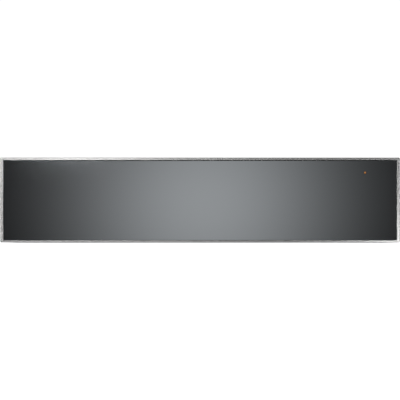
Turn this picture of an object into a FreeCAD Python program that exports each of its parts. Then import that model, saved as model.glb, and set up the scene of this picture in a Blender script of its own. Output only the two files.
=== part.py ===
import FreeCAD, Part
import math
import os
import re

import Sketcher
from FreeCAD import Vector

# A built-in warming drawer with a glass front, in millimetres.
# The front faces -Y, +X is to its right and +Z is up. The origin lies under the middle of the
# closed appliance, on the surface that its casing stands on.

# Each driving dimension: its name, its value and what it measures.
SIZES = {
    "front_wide": (590, "front panel, edge to edge"),
    "front_high": (125, "front panel, bottom to top"),
    "front_low": (1, "gap under the front panel"),
    "front_deep": (22, "front panel, face to back"),
    "lip_side": (4.4, "bright edge of the frame beside the glass"),
    "lip_top": (3.7, "bright edge of the frame over the glass"),
    "lip_foot": (2.5, "bright edge of the frame under the glass"),
    "corner": (2, "outer corner radius of the frame"),
    "glass_thick": (4, "front glass"),
    "glass_recess": (0.2, "glass face behind the lip"),
    "glass_gap": (0.4, "gap at either side of the glass"),
    "glass_head": (0.8, "gap over the glass"),
    "glass_foot": (0.2, "gap under the glass"),
    "tape_thick": (0.8, "bonding tape behind the glass"),
    "shelf": (12, "shelf of the frame that carries the glass"),
    "frame_wall": (2, "wall of the frame profile"),
    "lamp_x": (243.4, "operating light, right of the middle"),
    "lamp_z": (103.8, "operating light, above the base"),
    "half_deep": (270, "half of the overall depth"),
    "push_gap": (4, "front panel's back to the collar"),
    "casing_wide": (556, "casing, side to side"),
    "casing_high": (122, "casing, base to top"),
    "spacer_high": (8, "rear buffers"),
    "front_bolt_x": (256, "screws that hold the front, from the middle"),
    "steel": (1, "sheet of the casing and the drawer"),
    "bend": (1, "inside radius of the sheet's bends"),
    "bead_wide": (18, "stiffening beads pressed in flat sheets"),
    "bead_high": (2, "rise of the beads"),
    "clinch": (2.5, "radius of the clinched joints between sheets"),
    "clinch_deep": (0.3, "clinched joints, below the sheet's face"),
    "collar_wide": (16, "collar's flange on the cabinet"),
    "fixing_x": (286, "cabinet screws, from the middle"),
    "fixing_low": (21.5, "lower cabinet screws"),
    "fixing_high": (101.5, "upper cabinet screws"),
    "fixing_hole": (2.25, "radius of the cabinet screw holes"),
    "ceiling_low": (113, "underside of the ceiling panel"),
    "rail_steel": (1.1, "sheet of the rails"),
    "race": (2.425, "radius of the ball races"),
    "ball": (2.381, "radius of the balls"),
    "rail_high": (45, "casing member, edge to edge"),
    "row_step": (0.3, "second row of balls above the first"),
    "rail_middle": (55, "rails' centre line above the base"),
    "rail_front": (-230, "rails' front end"),
    "rail_long": (450, "each rail member"),
    "cage_front": (-115, "ball cages' front end"),
    "cage_long": (220, "each ball cage"),
    "cage_steel": (0.4, "sheet of the ball cages"),
    "rivet_y": (190, "rail fixings, from the middle"),
    "drawer_low": (8, "underside of the drawer"),
    "drawer_rear": (237, "back of the drawer"),
    "rim_level": (109, "top of the tub's rim"),
    "tub_half": (235, "tub, middle to outer side"),
    "tub_front": (-213, "outside of the tub's front wall"),
    "tub_rear": (199, "outside of the tub's rear wall"),
    "tub_low": (22, "underside of the tub"),
    "tub_corner": (20, "upright corners of the tub"),
    "tub_edge": (6, "lower edge of the tub"),
    "floor_glass": (4, "glass floor"),
    "plate_thick": (1.5, "aluminium spreader plate"),
    "band_wide": (8, "heating band"),
    "band_thick": (1.2, "heating band"),
    "band_pitch": (40, "heating band, run to run"),
    "fan_level": (71, "fan's axis above the base"),
    "fan_radius": (25, "fan wheel"),
    "control_left": (130, "control recess, left end"),
    "control_right": (230, "control recess, right end"),
    "control_deep": (10, "control recess below the rim"),
    "knob_x": (205, "control knob, right of the middle"),
    "knob_y": (-232, "control knob's axis"),
    "knob_radius": (10, "control knob"),
    "latch_x": (271.2, "latch plunger's axis"),
    "latch_z": (96, "latch plunger's axis"),
    "latch_front": (135, "front of the latch housing"),
    "latch_long": (80, "latch housing"),
    "plunger": (4, "radius of the latch plunger"),
    "latch_gap": (3.35, "striker to plunger while the drawer is closed"),
    "gland_x": (-215, "mains gland"),
    "gland_z": (75, "mains gland"),
    "loom": (3, "radius of the wiring loom"),
}

document = FreeCAD.newDocument("warming_drawer")
sheet = document.addObject("Spreadsheet::Sheet", "sizes")
for row, (name, (size, note)) in enumerate(SIZES.items(), 1):
    sheet.set(f"A{row}", name)
    sheet.set(f"B{row}", str(size))
    sheet.setAlias(f"B{row}", name)
    sheet.set(f"C{row}", note)
document.recompute()

# Places worked out from the driving dimensions.
FRONT = "(-half_deep)"
FRONT_BACK = "(front_deep - half_deep)"
FRONT_TOP = "(front_low + front_high)"
GLASS_BACK = "(glass_recess + glass_thick - half_deep)"
SEAT = "(glass_recess + glass_thick + tape_thick - half_deep)"
COLLAR = "(front_deep + push_gap - half_deep)"
COLLAR_BACK = "(front_deep + push_gap + steel - half_deep)"
REAR = "(half_deep - spacer_high)"
REAR_IN = "(half_deep - spacer_high - steel)"
CASING_IN = "(casing_wide / 2 - steel)"
CASING_TOP_IN = "(casing_high - steel)"
DRAWER_OUT = "(casing_wide / 2 - steel - 4 * race - 3 * rail_steel)"
DRAWER_IN = "(casing_wide / 2 - 2 * steel - 4 * race - 3 * rail_steel)"
RAIL_BACK = "(rail_front + rail_long)"
GLASS_FLOOR = "(tub_low + 2 * steel)"

pieces = []


def bound(formula):
    """The formula with every size's name turned into the sheet's cell."""
    def cell(word):
        return "sizes." + word.group() if word.group() in SIZES else word.group()
    return re.sub(r"[a-z][a-z_]*", cell, str(formula))


def number(formula):
    """What the formula comes to."""
    return float(sheet.evalExpression(bound(formula)))


def on_side(side, formula):
    """The formula on the right (1) or mirrored to the left (-1)."""
    return f"{side} * ({formula})"


def span(side, near, far):
    """Two distances from the middle, in rising order, on either side."""
    return (near, far) if side > 0 else (f"-({far})", f"-({near})")


def body(label):
    """A new piece."""
    piece = document.addObject("PartDesign::Body", label)
    piece.Label = label
    piece.AllowCompound = True
    pieces.append(piece)
    return piece


def place(piece, x="0", y="0", z="0"):
    """Binds where a piece that is drawn about its own centre stands."""
    for axis, formula in zip("xyz", (x, y, z)):
        piece.setExpression(f"Placement.Base.{axis}", bound(formula))


def origin(piece, role):
    """One of a piece's own origin planes or axes."""
    return next(item for item in piece.Origin.OriginFeatures if item.Role == role)


def box(x0, x1, y0, y1, radius=None):
    """Corners of a rectangle, rounded where a radius is given."""
    corners = [(x0, y0), (x1, y0), (x1, y1), (x0, y1)]
    return [(x, y, radius) if radius else (x, y) for x, y in corners]


def circle(x, y, radius):
    """A circle's centre and radius."""
    return (x, y, radius)


def polygon(sides, x, y, radius):
    """Corners of a regular polygon."""
    corners = []
    for k in range(sides):
        turn = 2 * math.pi * k / sides
        across, along = f"{math.cos(turn):.6f} * ({radius})", f"{math.sin(turn):.6f} * ({radius})"
        corners.append((f"{x} + {across}", f"{y} + {along}"))
    return corners


def strip(path, thickness):
    """Corners of a bent strip, from the points of its middle line and each bend's inside radius."""
    middle = [Vector(number(x), number(y), 0) for x, y, *_ in path]
    left, right = [], []
    for k, (x, y, *rest) in enumerate(path):
        way_in = (middle[k] - middle[k - 1]).normalize() if k else None
        way_out = (middle[k + 1] - middle[k]).normalize() if k + 1 < len(path) else way_in
        way_in = way_in or way_out
        mitre = Vector(-way_in.y - way_out.y, way_in.x + way_out.x, 0) * (1 / (1 + way_in.dot(way_out)))
        turns_left = way_in.x * way_out.y - way_in.y * way_out.x > 0
        for corners, sense in ((left, 1), (right, -1)):
            corner = [f"({q}) + {sense * shift:.6f} * {thickness} / 2" for q, shift in zip((x, y), mitre)]
            if rest:
                inside = turns_left == (sense > 0)
                corner.append(rest[0] if inside else f"{rest[0]} + {thickness}")
            corners.append(tuple(corner))
    return left + right[::-1]


def draw_circle(drawing, x, y, radius):
    """A circle with its centre and radius bound."""
    centre = Vector(number(x), number(y), 0)
    line = drawing.addGeometry(Part.Circle(centre, Vector(0, 0, 1), number(radius)), False)
    limits = [("DistanceX", x, centre.x), ("DistanceY", y, centre.y)]
    for kind, formula, size in limits:
        limit = drawing.addConstraint(Sketcher.Constraint(kind, -1, 1, line, 3, size))
        drawing.setExpression(f"Constraints[{limit}]", bound(formula))
    limit = drawing.addConstraint(Sketcher.Constraint("Radius", line, number(radius)))
    drawing.setExpression(f"Constraints[{limit}]", bound(radius))


def draw_outline(drawing, corners):
    """A closed outline: each corner's place is bound, and its radius where it has one."""
    count = len(corners)
    first_line = drawing.GeometryCount
    points = [Vector(number(x), number(y), 0) for x, y, *_ in corners]
    starts, ends = list(points), points[1:] + points[:1]
    arcs, marks = {}, {}
    for k, (_, _, *rest) in enumerate(corners):
        if not rest:
            continue
        radius = number(rest[0])
        way_in = (points[k] - points[k - 1]).normalize()
        way_out = (points[(k + 1) % count] - points[k]).normalize()
        turn = math.atan2(way_in.x * way_out.y - way_in.y * way_out.x, way_in.dot(way_out))
        trim = radius * math.tan(abs(turn) / 2)
        ends[k - 1] = points[k] - way_in * trim
        starts[k] = points[k] + way_out * trim
        centre = ends[k - 1] + Vector(-way_in.y, way_in.x, 0) * math.copysign(radius, turn)
        angles = [math.atan2(end.y - centre.y, end.x - centre.x) for end in (ends[k - 1], starts[k])]
        ring = Part.Circle(centre, Vector(0, 0, 1), radius)
        arcs[k] = (Part.ArcOfCircle(ring, *angles[:: 1 if turn > 0 else -1]), turn > 0)
    lines = [Part.LineSegment(start, end) for start, end in zip(starts, ends)]
    drawing.addGeometry(lines + [arc for arc, _ in arcs.values()], False)
    first_mark = drawing.GeometryCount
    drawing.addGeometry([Part.Point(points[k]) for k in arcs], True)
    for order, k in enumerate(arcs):
        marks[k] = (first_line + count + order, first_mark + order)
    limits, formulas = [], []
    for k, (x, y, *rest) in enumerate(corners):
        before, after = first_line + (k - 1) % count, first_line + k
        if k in arcs:
            arc, point = marks[k]
            begin, finish = (1, 2) if arcs[k][1] else (2, 1)
            limits.append(Sketcher.Constraint("Tangent", before, 2, arc, begin))
            limits.append(Sketcher.Constraint("Tangent", arc, finish, after, 1))
            limits.append(Sketcher.Constraint("PointOnObject", point, 1, before))
            limits.append(Sketcher.Constraint("PointOnObject", point, 1, after))
            formulas.append((len(limits), rest[0]))
            limits.append(Sketcher.Constraint("Radius", arc, number(rest[0])))
        else:
            point = after
            limits.append(Sketcher.Constraint("Coincident", before, 2, after, 1))
        for kind, formula, size in (("DistanceX", x, points[k].x), ("DistanceY", y, points[k].y)):
            formulas.append((len(limits), formula))
            limits.append(Sketcher.Constraint(kind, -1, 1, point, 1, size))
    first_limit = drawing.ConstraintCount
    drawing.addConstraint(limits)
    for order, formula in formulas:
        drawing.setExpression(f"Constraints[{first_limit + order}]", bound(formula))


def sketch(piece, plane, level, loops):
    """A drawing on one of the piece's own planes, at a level along the world's axis."""
    drawing = piece.newObject("Sketcher::SketchObject", "outline")
    drawing.AttachmentSupport = (origin(piece, plane + "_Plane"), [""])
    drawing.MapMode = "FlatFace"
    facing = "-" if plane == "XZ" else ""
    drawing.setExpression("AttachmentOffset.Base.z", bound(f"{facing}({level})"))
    for loop in loops:
        if isinstance(loop, tuple):
            draw_circle(drawing, *loop)
        else:
            draw_outline(drawing, loop)
    return drawing


def pad(piece, name, plane, low, high, *loops):
    """Adds the outline's solid between two levels along the plane's axis."""
    feature = piece.newObject("PartDesign::Pad", name)
    feature.Profile = sketch(piece, plane, high if plane == "XZ" else low, loops)
    feature.setExpression("Length", bound(f"({high}) - ({low})"))
    piece.Tip = feature
    return feature


def cut(piece, name, plane, low, high, *loops):
    """Takes the outline's solid away between two levels along the plane's axis."""
    drawing = sketch(piece, plane, low if plane == "XZ" else high, loops)
    feature = piece.newObject("PartDesign::Pocket", name)
    feature.Profile = drawing
    feature.setExpression("Length", bound(f"({high}) - ({low})"))
    return feature


def turned(piece, name, plane, axis, loop, angle=360):
    """Adds an outline turned about the drawing's own upright or level axis."""
    drawing = sketch(piece, plane, "0", [loop])
    feature = piece.newObject("PartDesign::Revolution", name)
    feature.Profile = drawing
    feature.ReferenceAxis = (drawing, [axis])
    feature.Angle = angle
    return feature


def row(piece, feature, axis, length, count):
    """Repeats a feature along an axis."""
    pattern = piece.newObject("PartDesign::LinearPattern", "row")
    pattern.Originals = feature if isinstance(feature, list) else [feature]
    pattern.Direction = (origin(piece, axis + "_Axis"), [""])
    pattern.setExpression("Length", bound(length))
    pattern.Occurrences = count
    piece.Tip = pattern
    return pattern


def ring_of(piece, feature, axis, count):
    """Repeats a feature round an axis."""
    pattern = piece.newObject("PartDesign::PolarPattern", "ring")
    pattern.Originals = [feature]
    pattern.Axis = (origin(piece, axis + "_Axis"), [""])
    pattern.Angle = 360
    pattern.Occurrences = count
    piece.Tip = pattern
    return pattern


def ease(piece, radius, chosen, kind="Fillet"):
    """Rounds or bevels the edges of the piece that the test picks."""
    document.recompute()
    base = piece.Tip
    names = [f"Edge{k}" for k, edge in enumerate(base.Shape.Edges, 1) if chosen(edge)]
    feature = piece.newObject("PartDesign::" + kind, kind.lower())
    feature.Base = (base, names)
    feature.setExpression("Radius" if kind == "Fillet" else "Size", bound(radius))
    return feature


def level_at(formula, axis="Z"):
    """A test for edges that lie at a level of an axis."""
    height = number(formula)

    def lies_there(edge):
        ends = edge.BoundBox
        low, high = getattr(ends, axis + "Min"), getattr(ends, axis + "Max")
        return abs(low - height) < 0.01 and abs(high - height) < 0.01
    return lies_there


def ball(piece, kind, x, y, z, radius):
    """A ball added to a piece, or a ball's pocket taken from it."""
    feature = piece.newObject(f"PartDesign::{kind}Sphere", "ball")
    feature.AttachmentSupport = (origin(piece, "XY_Plane"), [""])
    feature.MapMode = "FlatFace"
    for axis, formula in zip("xyz", (x, y, z)):
        feature.setExpression(f"AttachmentOffset.Base.{axis}", bound(formula))
    feature.setExpression("Radius", bound(radius))
    return feature


def beads(piece, low, rise):
    """Stiffening beads along a flat sheet, pressed up (1) or down (-1)."""
    outer, inner = [], []
    for x in (-160, 0, 160):
        for loops, half in ((outer, "bead_wide / 2"), (inner, "(bead_wide / 2 - steel)")):
            ends = f"-200 - {half}", f"215 + {half}"
            loops.append(box(f"{x} - {half}", f"{x} + {half}", *ends, f"{half} - 0.01"))
    if rise > 0:
        pad(piece, "beads", "XY", f"{low} + steel", f"{low} + steel + bead_high", *outer)
        cut(piece, "bead_hollows", "XY", low, f"{low} + bead_high", *inner)
    else:
        pad(piece, "beads", "XY", f"{low} - bead_high", low, *outer)
        cut(piece, "bead_hollows", "XY", f"{low} + steel - bead_high", f"{low} + steel", *inner)


# The casing: folded sheets. The base and the rear are clinched to the sides' flanges.
base = body("casing_base")
pad(base, "sheet", "XY", "0", "steel", box("-casing_wide / 2", "casing_wide / 2", COLLAR_BACK, REAR))
beads(base, "0", 1)
for left in (-130, 30):
    slot = cut(base, "vent", "XY", "0", "steel", box(left, left + 4, "165", "195"))
    row(base, slot, "X", "96", 9)
clinches = [circle(on_side(side, "casing_wide / 2 - 7"), "-225", "clinch") for side in (-1, 1)]
joint = cut(base, "clinches", "XY", "0", "clinch_deep", *clinches)
row(base, joint, "Y", "450", 7)

TOP_SCREWS = [(side, y) for side in (-1, 1) for y in (-215, 0, 225)]
SCREW_X = "(casing_wide / 2 - 5.5)"

# Countersunk screws hold the top, so that an oven can stand on it.
top = body("casing_top")
top_holes = [circle(on_side(side, SCREW_X), y, "2.4") for side, y in TOP_SCREWS]
top_edge = box("-casing_wide / 2", "casing_wide / 2", COLLAR_BACK, REAR)
pad(top, "sheet", "XY", CASING_TOP_IN, "casing_high", top_edge, *top_holes)
hole_rim = level_at("casing_high")
ease(top, "0.9 * steel", lambda edge: hole_rim(edge) and edge.Length < 20, "Chamfer")
beads(top, CASING_TOP_IN, -1)

casing_screws = body("casing_screws")
screw_heads = [circle(on_side(side, SCREW_X), y, "3.15") for side, y in TOP_SCREWS]
screw_shanks = [circle(on_side(side, SCREW_X), y, "1.9") for side, y in TOP_SCREWS]
pad(casing_screws, "heads", "XY", CASING_TOP_IN, "casing_high", *screw_heads)
ease(casing_screws, "0.9 * steel", level_at(CASING_TOP_IN), "Chamfer")
pad(casing_screws, "shanks", "XY", "casing_high - 6", CASING_TOP_IN, *screw_shanks)

for side, hand in ((-1, "left"), (1, "right")):
    wall = body(f"casing_side_{hand}")
    middle, inner = on_side(side, "casing_wide / 2 - steel / 2"), on_side(side, "casing_wide / 2 - 13")
    low, high = "1.5 * steel", "casing_high - 1.5 * steel"
    section = [(inner, low), (middle, low, "bend"), (middle, high, "bend"), (inner, high)]
    pad(wall, "section", "XZ", COLLAR_BACK, REAR_IN, strip(section, "steel"))
    wall_span = span(side, CASING_IN, "casing_wide / 2")
    rivet_holes = [circle(f"{end} * rivet_y", "rail_middle", "2") for end in (-1, 1)]
    cut(wall, "rivet_holes", "YZ", *wall_span, *rivet_holes)
    vent = cut(wall, "vent", "YZ", *wall_span, box("-190", "-160", "11", "15"))
    row(wall, vent, "Y", "330", 9)
    bead_span = span(side, f"{CASING_IN} - 1.5", CASING_IN)
    pad(wall, "bead", "YZ", *bead_span, box("-205", "215", "20", "29", "4.49"))
    hollow_span = span(side, f"{CASING_IN} - 0.5", "casing_wide / 2")
    cut(wall, "bead_hollow", "YZ", *hollow_span, box("-204", "214", "21", "28", "3.49"))
    joint_span = span(side, "casing_wide / 2 - clinch_deep", "casing_wide / 2")
    joints = [circle(f"{REAR_IN} - 8", z, "clinch") for z in (25, 61, 97)]
    cut(wall, "clinches", "YZ", *joint_span, *joints)
    holes = [circle(on_side(side, SCREW_X), y, "2") for y in (-215, 0, 225)]
    cut(wall, "screw_holes", "XY", "casing_high - 2 * steel", CASING_TOP_IN, *holes)

rear = body("casing_rear")
flange_x, flange_y = "(casing_wide / 2 - 1.5 * steel)", f"({REAR_IN} - 15)"
rear_y = f"({REAR} - steel / 2)"
plan = [(f"-{flange_x}", flange_y), (f"-{flange_x}", rear_y, "bend")]
plan += [(flange_x, rear_y, "bend"), (flange_x, flange_y)]
pad(rear, "section", "XY", "3 * steel", "casing_high - 3 * steel", strip(plan, "steel"))
cut(rear, "gland_hole", "XZ", REAR_IN, REAR, circle("gland_x", "gland_z", "8.05"))
for bottom in (34, 84):
    slot = cut(rear, "vent", "XZ", REAR_IN, REAR, box("-120", "-116", bottom, bottom + 24))
    row(rear, slot, "X", "240", 21)

collar = body("casing_front_collar")
opening_x = f"({CASING_IN} - steel)"
fixings = [(side, z) for side in (-1, 1) for z in ("fixing_low", "fixing_high")]
fixing_holes = [circle(on_side(side, "fixing_x"), z, "fixing_hole") for side, z in fixings]
collar_edge = box(f"-({opening_x} + collar_wide)", f"{opening_x} + collar_wide", "2", CASING_TOP_IN, "3")
collar_opening = box(f"-{opening_x}", opening_x, "drawer_low - 1", "ceiling_low", "1.5")
pad(collar, "face", "XZ", COLLAR, COLLAR_BACK, collar_edge, collar_opening, *fixing_holes)
for side in (-1, 1):
    returns = box(*span(side, opening_x, CASING_IN), "drawer_low + 2", "ceiling_low - 2")
    pad(collar, "return_flange", "XZ", COLLAR_BACK, f"{COLLAR_BACK} + 10", returns)

ceiling = body("ceiling_panel")
shoulder, hang = "(casing_wide / 2 - 15)", "(casing_wide / 2 - 10)"
up, down = "(casing_high - 2.5 * steel)", "(ceiling_low + steel / 2)"
roof = [(f"-{hang}", up), (f"-{shoulder}", up, "bend"), (f"-{shoulder}", down, "bend")]
roof += [(shoulder, down, "bend"), (shoulder, up, "bend"), (hang, up)]
pad(ceiling, "section", "XZ", COLLAR_BACK, f"{REAR_IN} - 16", strip(roof, "steel"))

spacers = body("rear_spacers")
spacer_places = [circle(on_side(side, "240"), z, "10") for side in (-1, 1) for z in (25, 95)]
pad(spacers, "buffers", "XZ", REAR, "half_deep", *spacer_places)
ease(spacers, "3", level_at("half_deep", "Y"), "Chamfer")

# The mains connection inside the casing's rear panel.
terminals = body("terminal_block")
place(terminals, "gland_x", REAR_IN, "30")
pad(terminals, "block", "XZ", "-16", "0", box("-22", "22", "-10", "10", "1"))
for k in (-14, 0, 14):
    cut(terminals, "wire_way", "XY", "-10", "10", circle(k, "-8", "2.6"))
    cut(terminals, "screw_way", "XZ", "-16", "-8", circle(k, "0", "2.4"))
for k in (-7, 7):
    pad(terminals, "barrier", "XZ", "-19", "-16", box(f"{k} - 0.8", f"{k} + 0.8", "-10", "10"))

gland = body("cable_gland")
place(gland, "gland_x", REAR, "gland_z")
pad(gland, "barrel", "XZ", "-9", "spacer_high - 0.5", circle("0", "0", "8"), circle("0", "0", "4.5"))
pad(gland, "cap", "XZ", "0", "spacer_high - 2", polygon(6, "0", "0", "12"), circle("0", "0", "8"))
pad(gland, "lock_nut", "XZ", "-5 - steel", "-steel", polygon(6, "0", "0", "12"), circle("0", "0", "8"))

# The telescopic rails. The balls of the first row run between the casing member and the middle
# member, and those of the second row between the middle member and the drawer member. Across
# the rail, u runs from the casing's side towards the drawer.
FIRST_ROW = "(race + rail_steel)"
SECOND_ROW = "(3 * race + 2 * rail_steel)"
FIRST_Z = "(rail_high / 2 - rail_steel - race)"
SECOND_Z = "(rail_high / 2 - rail_steel - race + row_step)"
MID_RADIUS = "(race + rail_steel / 2)"


def mirrored(upper):
    """A section's upper half, carried on by its lower half."""
    return upper + [(u, f"-({v})", *rest) for u, v, *rest in upper[::-1]]


def rail_section(upper, side, thickness):
    """A rail's outline from the upper half of its middle line, on the right or on the left."""
    path = [(on_side(side, f"{CASING_IN} - ({u})"), v, *rest) for u, v, *rest in mirrored(upper)]
    return strip(path, thickness)


outer_top = f"{FIRST_Z} + {MID_RADIUS}"
outer_hook = [(f"{FIRST_ROW} + 1.2", outer_top), ("rail_steel / 2", outer_top, "race")]

wall_u = f"({FIRST_ROW} + {MID_RADIUS})"
mid_web_u = "(1.5 * rail_steel + 1)"
mid_top, mid_step = f"{SECOND_Z} + {MID_RADIUS}", f"{FIRST_Z} - {MID_RADIUS}"
mid_hook = [(f"{SECOND_ROW} + 1.2", mid_top), (wall_u, mid_top, "race")]
mid_hook += [(wall_u, mid_step, "race"), (mid_web_u, mid_step, "0.3")]

web_u = "(4 * race + 2.5 * rail_steel)"
groove = f"({SECOND_Z} - {MID_RADIUS} / cos(30))"
groove_tip = (f"{SECOND_ROW} - 0.51 * {MID_RADIUS}", f"{groove} + 0.51 * {MID_RADIUS} * tan(30)")
inner_hook = [groove_tip, (SECOND_ROW, groove, "race")]
inner_hook += [(web_u, f"{groove} + {MID_RADIUS} * tan(30)", "0.3")]

cage_u = "(rail_steel + 0.5)"
cage_bend = f"{FIRST_Z} - {FIRST_ROW} + {cage_u}"
outer_cage = [(f"{FIRST_ROW} + 1.3", f"{FIRST_Z} + 1.3"), (cage_u, cage_bend, "0.3")]
inner_cage_u = f"({wall_u} + 0.75)"
inner_cage_z = f"{SECOND_Z} - ({SECOND_ROW} - {inner_cage_u}) * tan(30)"
inner_cage = [(f"{SECOND_ROW} + 1.2", f"{SECOND_Z} + 1.2 * tan(30)"), (inner_cage_u, inner_cage_z, "0.3")]

rivet_y = [f"{end} * rivet_y" for end in (-1, 1)]
for side, hand in ((-1, "left"), (1, "right")):
    outer_rail = body(f"outer_rail_{hand}")
    place(outer_rail, z="rail_middle")
    pad(outer_rail, "section", "XZ", "rail_front", RAIL_BACK, rail_section(outer_hook, side, "rail_steel"))
    web = span(side, f"{CASING_IN} - rail_steel", CASING_IN)
    cut(outer_rail, "rivet_holes", "YZ", *web, *[circle(y, "0", "2") for y in rivet_y])

    mid_rail = body(f"mid_rail_{hand}")
    place(mid_rail, z="rail_middle")
    pad(mid_rail, "section", "XZ", "rail_front", RAIL_BACK, rail_section(mid_hook, side, "rail_steel"))
    mid_web_x = f"{CASING_IN} - {mid_web_u}"
    web = span(side, f"{mid_web_x} - rail_steel / 2", f"{mid_web_x} + rail_steel / 2")
    access = [box(f"{y} - 9", f"{y} + 9", "-7", "7", "6.9") for y in rivet_y]
    cut(mid_rail, "access_slots", "YZ", *web, *access)

    inner_rail = body(f"inner_rail_{hand}")
    place(inner_rail, z="rail_middle")
    pad(inner_rail, "section", "XZ", "rail_front", RAIL_BACK, rail_section(inner_hook, side, "rail_steel"))
    web = span(side, DRAWER_OUT, f"{DRAWER_OUT} + rail_steel")
    cut(inner_rail, "screw_holes", "YZ", *web, *[circle(y, "0", "1.9") for y in rivet_y])

    cages = (("outer", outer_cage, FIRST_ROW, FIRST_Z), ("inner", inner_cage, SECOND_ROW, SECOND_Z))
    for rank, path, row_u, row_z in cages:
        row_x = on_side(side, f"{CASING_IN} - {row_u}")
        cage = body(f"{rank}_cage_{hand}")
        place(cage, z="rail_middle")
        cage_outline = rail_section(path, side, "cage_steel")
        pad(cage, "section", "XZ", "cage_front", "cage_front + cage_long", cage_outline)
        first_ball = (row_x, "cage_front + 10")
        pockets = [ball(cage, "Subtractive", *first_ball, f"{up} * {row_z}", "race") for up in (1, -1)]
        row(cage, pockets, "Y", "cage_long - 20", 2)
        balls = body(f"{rank}_balls_{hand}")
        place(balls, z="rail_middle")
        pair = [ball(balls, "Additive", *first_ball, f"{up} * {row_z}", "ball") for up in (1, -1)]
        row(balls, pair, "Y", "cage_long - 20", 2)

rivets = body("rail_rivets")
rail_screws = body("rail_screws")
place(rivets, z="rail_middle")
place(rail_screws, z="rail_middle")
screw_seat = f"{DRAWER_OUT} + rail_steel"
for side in (-1, 1):
    shanks = [circle(y, "0", "2") for y in rivet_y]
    heads = [circle(y, "0", "4") for y in rivet_y]
    pad(rivets, "shanks", "YZ", *span(side, f"{CASING_IN} - rail_steel", "casing_wide / 2"), *shanks)
    pad(rivets, "heads", "YZ", *span(side, "casing_wide / 2", "casing_wide / 2 + 0.8"), *heads)
    shanks = [circle(y, "0", "1.9") for y in rivet_y]
    heads = [circle(y, "0", "3.4") for y in rivet_y]
    pad(rail_screws, "shanks", "YZ", *span(side, f"{DRAWER_IN} - 3", screw_seat), *shanks)
    pad(rail_screws, "heads", "YZ", *span(side, screw_seat, f"{screw_seat} + 2"), *heads)

# The push latch: pressing the closed drawer in by 3 mm works the plunger, which then pushes it out.
housing = body("latch_housing")
latch_back = "latch_front + latch_long"
block = box(f"{DRAWER_OUT} + 1.5", CASING_IN, "latch_z - 12", "latch_z + 12", "1.5")
pad(housing, "block", "XZ", "latch_front", latch_back, block)
ears = box(f"{CASING_IN} - 2", CASING_IN, "latch_z - 7", "latch_z + 7")
pad(housing, "ears", "XZ", "latch_front - 9", f"{latch_back} + 9", ears)
bore = circle("latch_x", "latch_z", "plunger + 0.08")
cut(housing, "bore", "XZ", "latch_front - 9", f"{latch_back} - 3", bore)
ear_holes = [circle(y, "latch_z", "1.8") for y in ("latch_front - 5", f"{latch_back} + 5")]
cut(housing, "ear_holes", "YZ", f"{CASING_IN} - 2", CASING_IN, *ear_holes)

STRIKER_BACK = "(latch_front - 13 - latch_gap)"
striker = body("latch_striker")
foot_x, tab_y = f"{DRAWER_OUT} + 0.75", f"({STRIKER_BACK} - 0.75)"
bracket = [(foot_x, f"{tab_y} - 24"), (foot_x, tab_y, "0.5"), (f"{CASING_IN} - 2", tab_y)]
pad(striker, "bracket", "XY", "latch_z - 8", "latch_z + 8", strip(bracket, "1.5"))

plunger = body("latch_plunger")
place(plunger, "latch_x", "latch_front", "latch_z")
rod = [("0", "-13"), ("3.2", "-13"), ("plunger", "-12"), ("plunger", "45")]
rod += [("2", "45"), ("2", "66"), ("0", "66")]
turned(plunger, "rod", "XY", "V_Axis", rod)

spring = body("latch_spring")
place(spring, "latch_x", "latch_front + 48.4", "latch_z")
wire = sketch(spring, "XY", "0", [box("2.6", "3.4", "0", "0.8")])
coil = spring.newObject("PartDesign::AdditiveHelix", "coil")
coil.Profile = wire
coil.ReferenceAxis = (wire, ["V_Axis"])
coil.Mode = 0
coil.Pitch = 7
coil.setExpression("Height", bound("latch_long - 3 - 48.4 - 0.8"))

# The drawer's outer shell.
for side, hand in ((-1, "left"), (1, "right")):
    wall = body(f"drawer_side_{hand}")
    middle, inner = on_side(side, f"{DRAWER_OUT} - steel / 2"), on_side(side, f"{DRAWER_OUT} - 15")
    low, high = "drawer_low + 1.5 * steel", "rim_level - 1.5 * steel"
    section = [(inner, low), (middle, low, "bend"), (middle, high, "bend"), (inner, high)]
    pad(wall, "section", "XZ", FRONT_BACK, "drawer_rear - steel", strip(section, "steel"))
    flange_span = span(side, f"{DRAWER_OUT} - 15", f"{DRAWER_OUT} - 0.2")
    flange = box(*flange_span, "drawer_low + 2 * steel", "rim_level - 2 * steel")
    bolts = [circle(on_side(side, "front_bolt_x"), z, "2.1") for z in (30, 90)]
    pad(wall, "front_flange", "XZ", FRONT_BACK, f"{FRONT_BACK} + steel", flange, *bolts)
    holes = [circle(y, "rail_middle", "1.9") for y in rivet_y]
    cut(wall, "screw_holes", "YZ", *span(side, DRAWER_IN, DRAWER_OUT), *holes)

back = body("drawer_rear_panel")
low, high = "drawer_low + 1.5 * steel", "rim_level - 1.5 * steel"
back_y, lip_y = "drawer_rear - steel / 2", "drawer_rear - 13"
profile = [(lip_y, low), (back_y, low, "bend"), (back_y, high, "bend"), (lip_y, high)]
pad(back, "section", "YZ", f"-({DRAWER_OUT} - 16)", f"{DRAWER_OUT} - 16", strip(profile, "steel"))
wings = box(f"-{DRAWER_OUT}", DRAWER_OUT, "drawer_low + steel", "rim_level - steel")
pad(back, "wings", "XZ", "drawer_rear - steel", "drawer_rear", wings)
slot = cut(back, "vent", "XZ", "drawer_rear - steel", "drawer_rear", box("-60", "-56", "44", "98"))
row(back, slot, "X", "116", 9)

cover = body("drawer_bottom_cover")
cover_edge = box(f"-{DRAWER_IN}", DRAWER_IN, f"{FRONT_BACK} + 2", "drawer_rear - steel")
pad(cover, "sheet", "XY", "drawer_low", "drawer_low + steel", cover_edge)
slot = cut(cover, "vent", "XY", "drawer_low", "drawer_low + steel", box("-60", "60", "206", "209"))
row(cover, slot, "Y", "18", 3)

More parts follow.
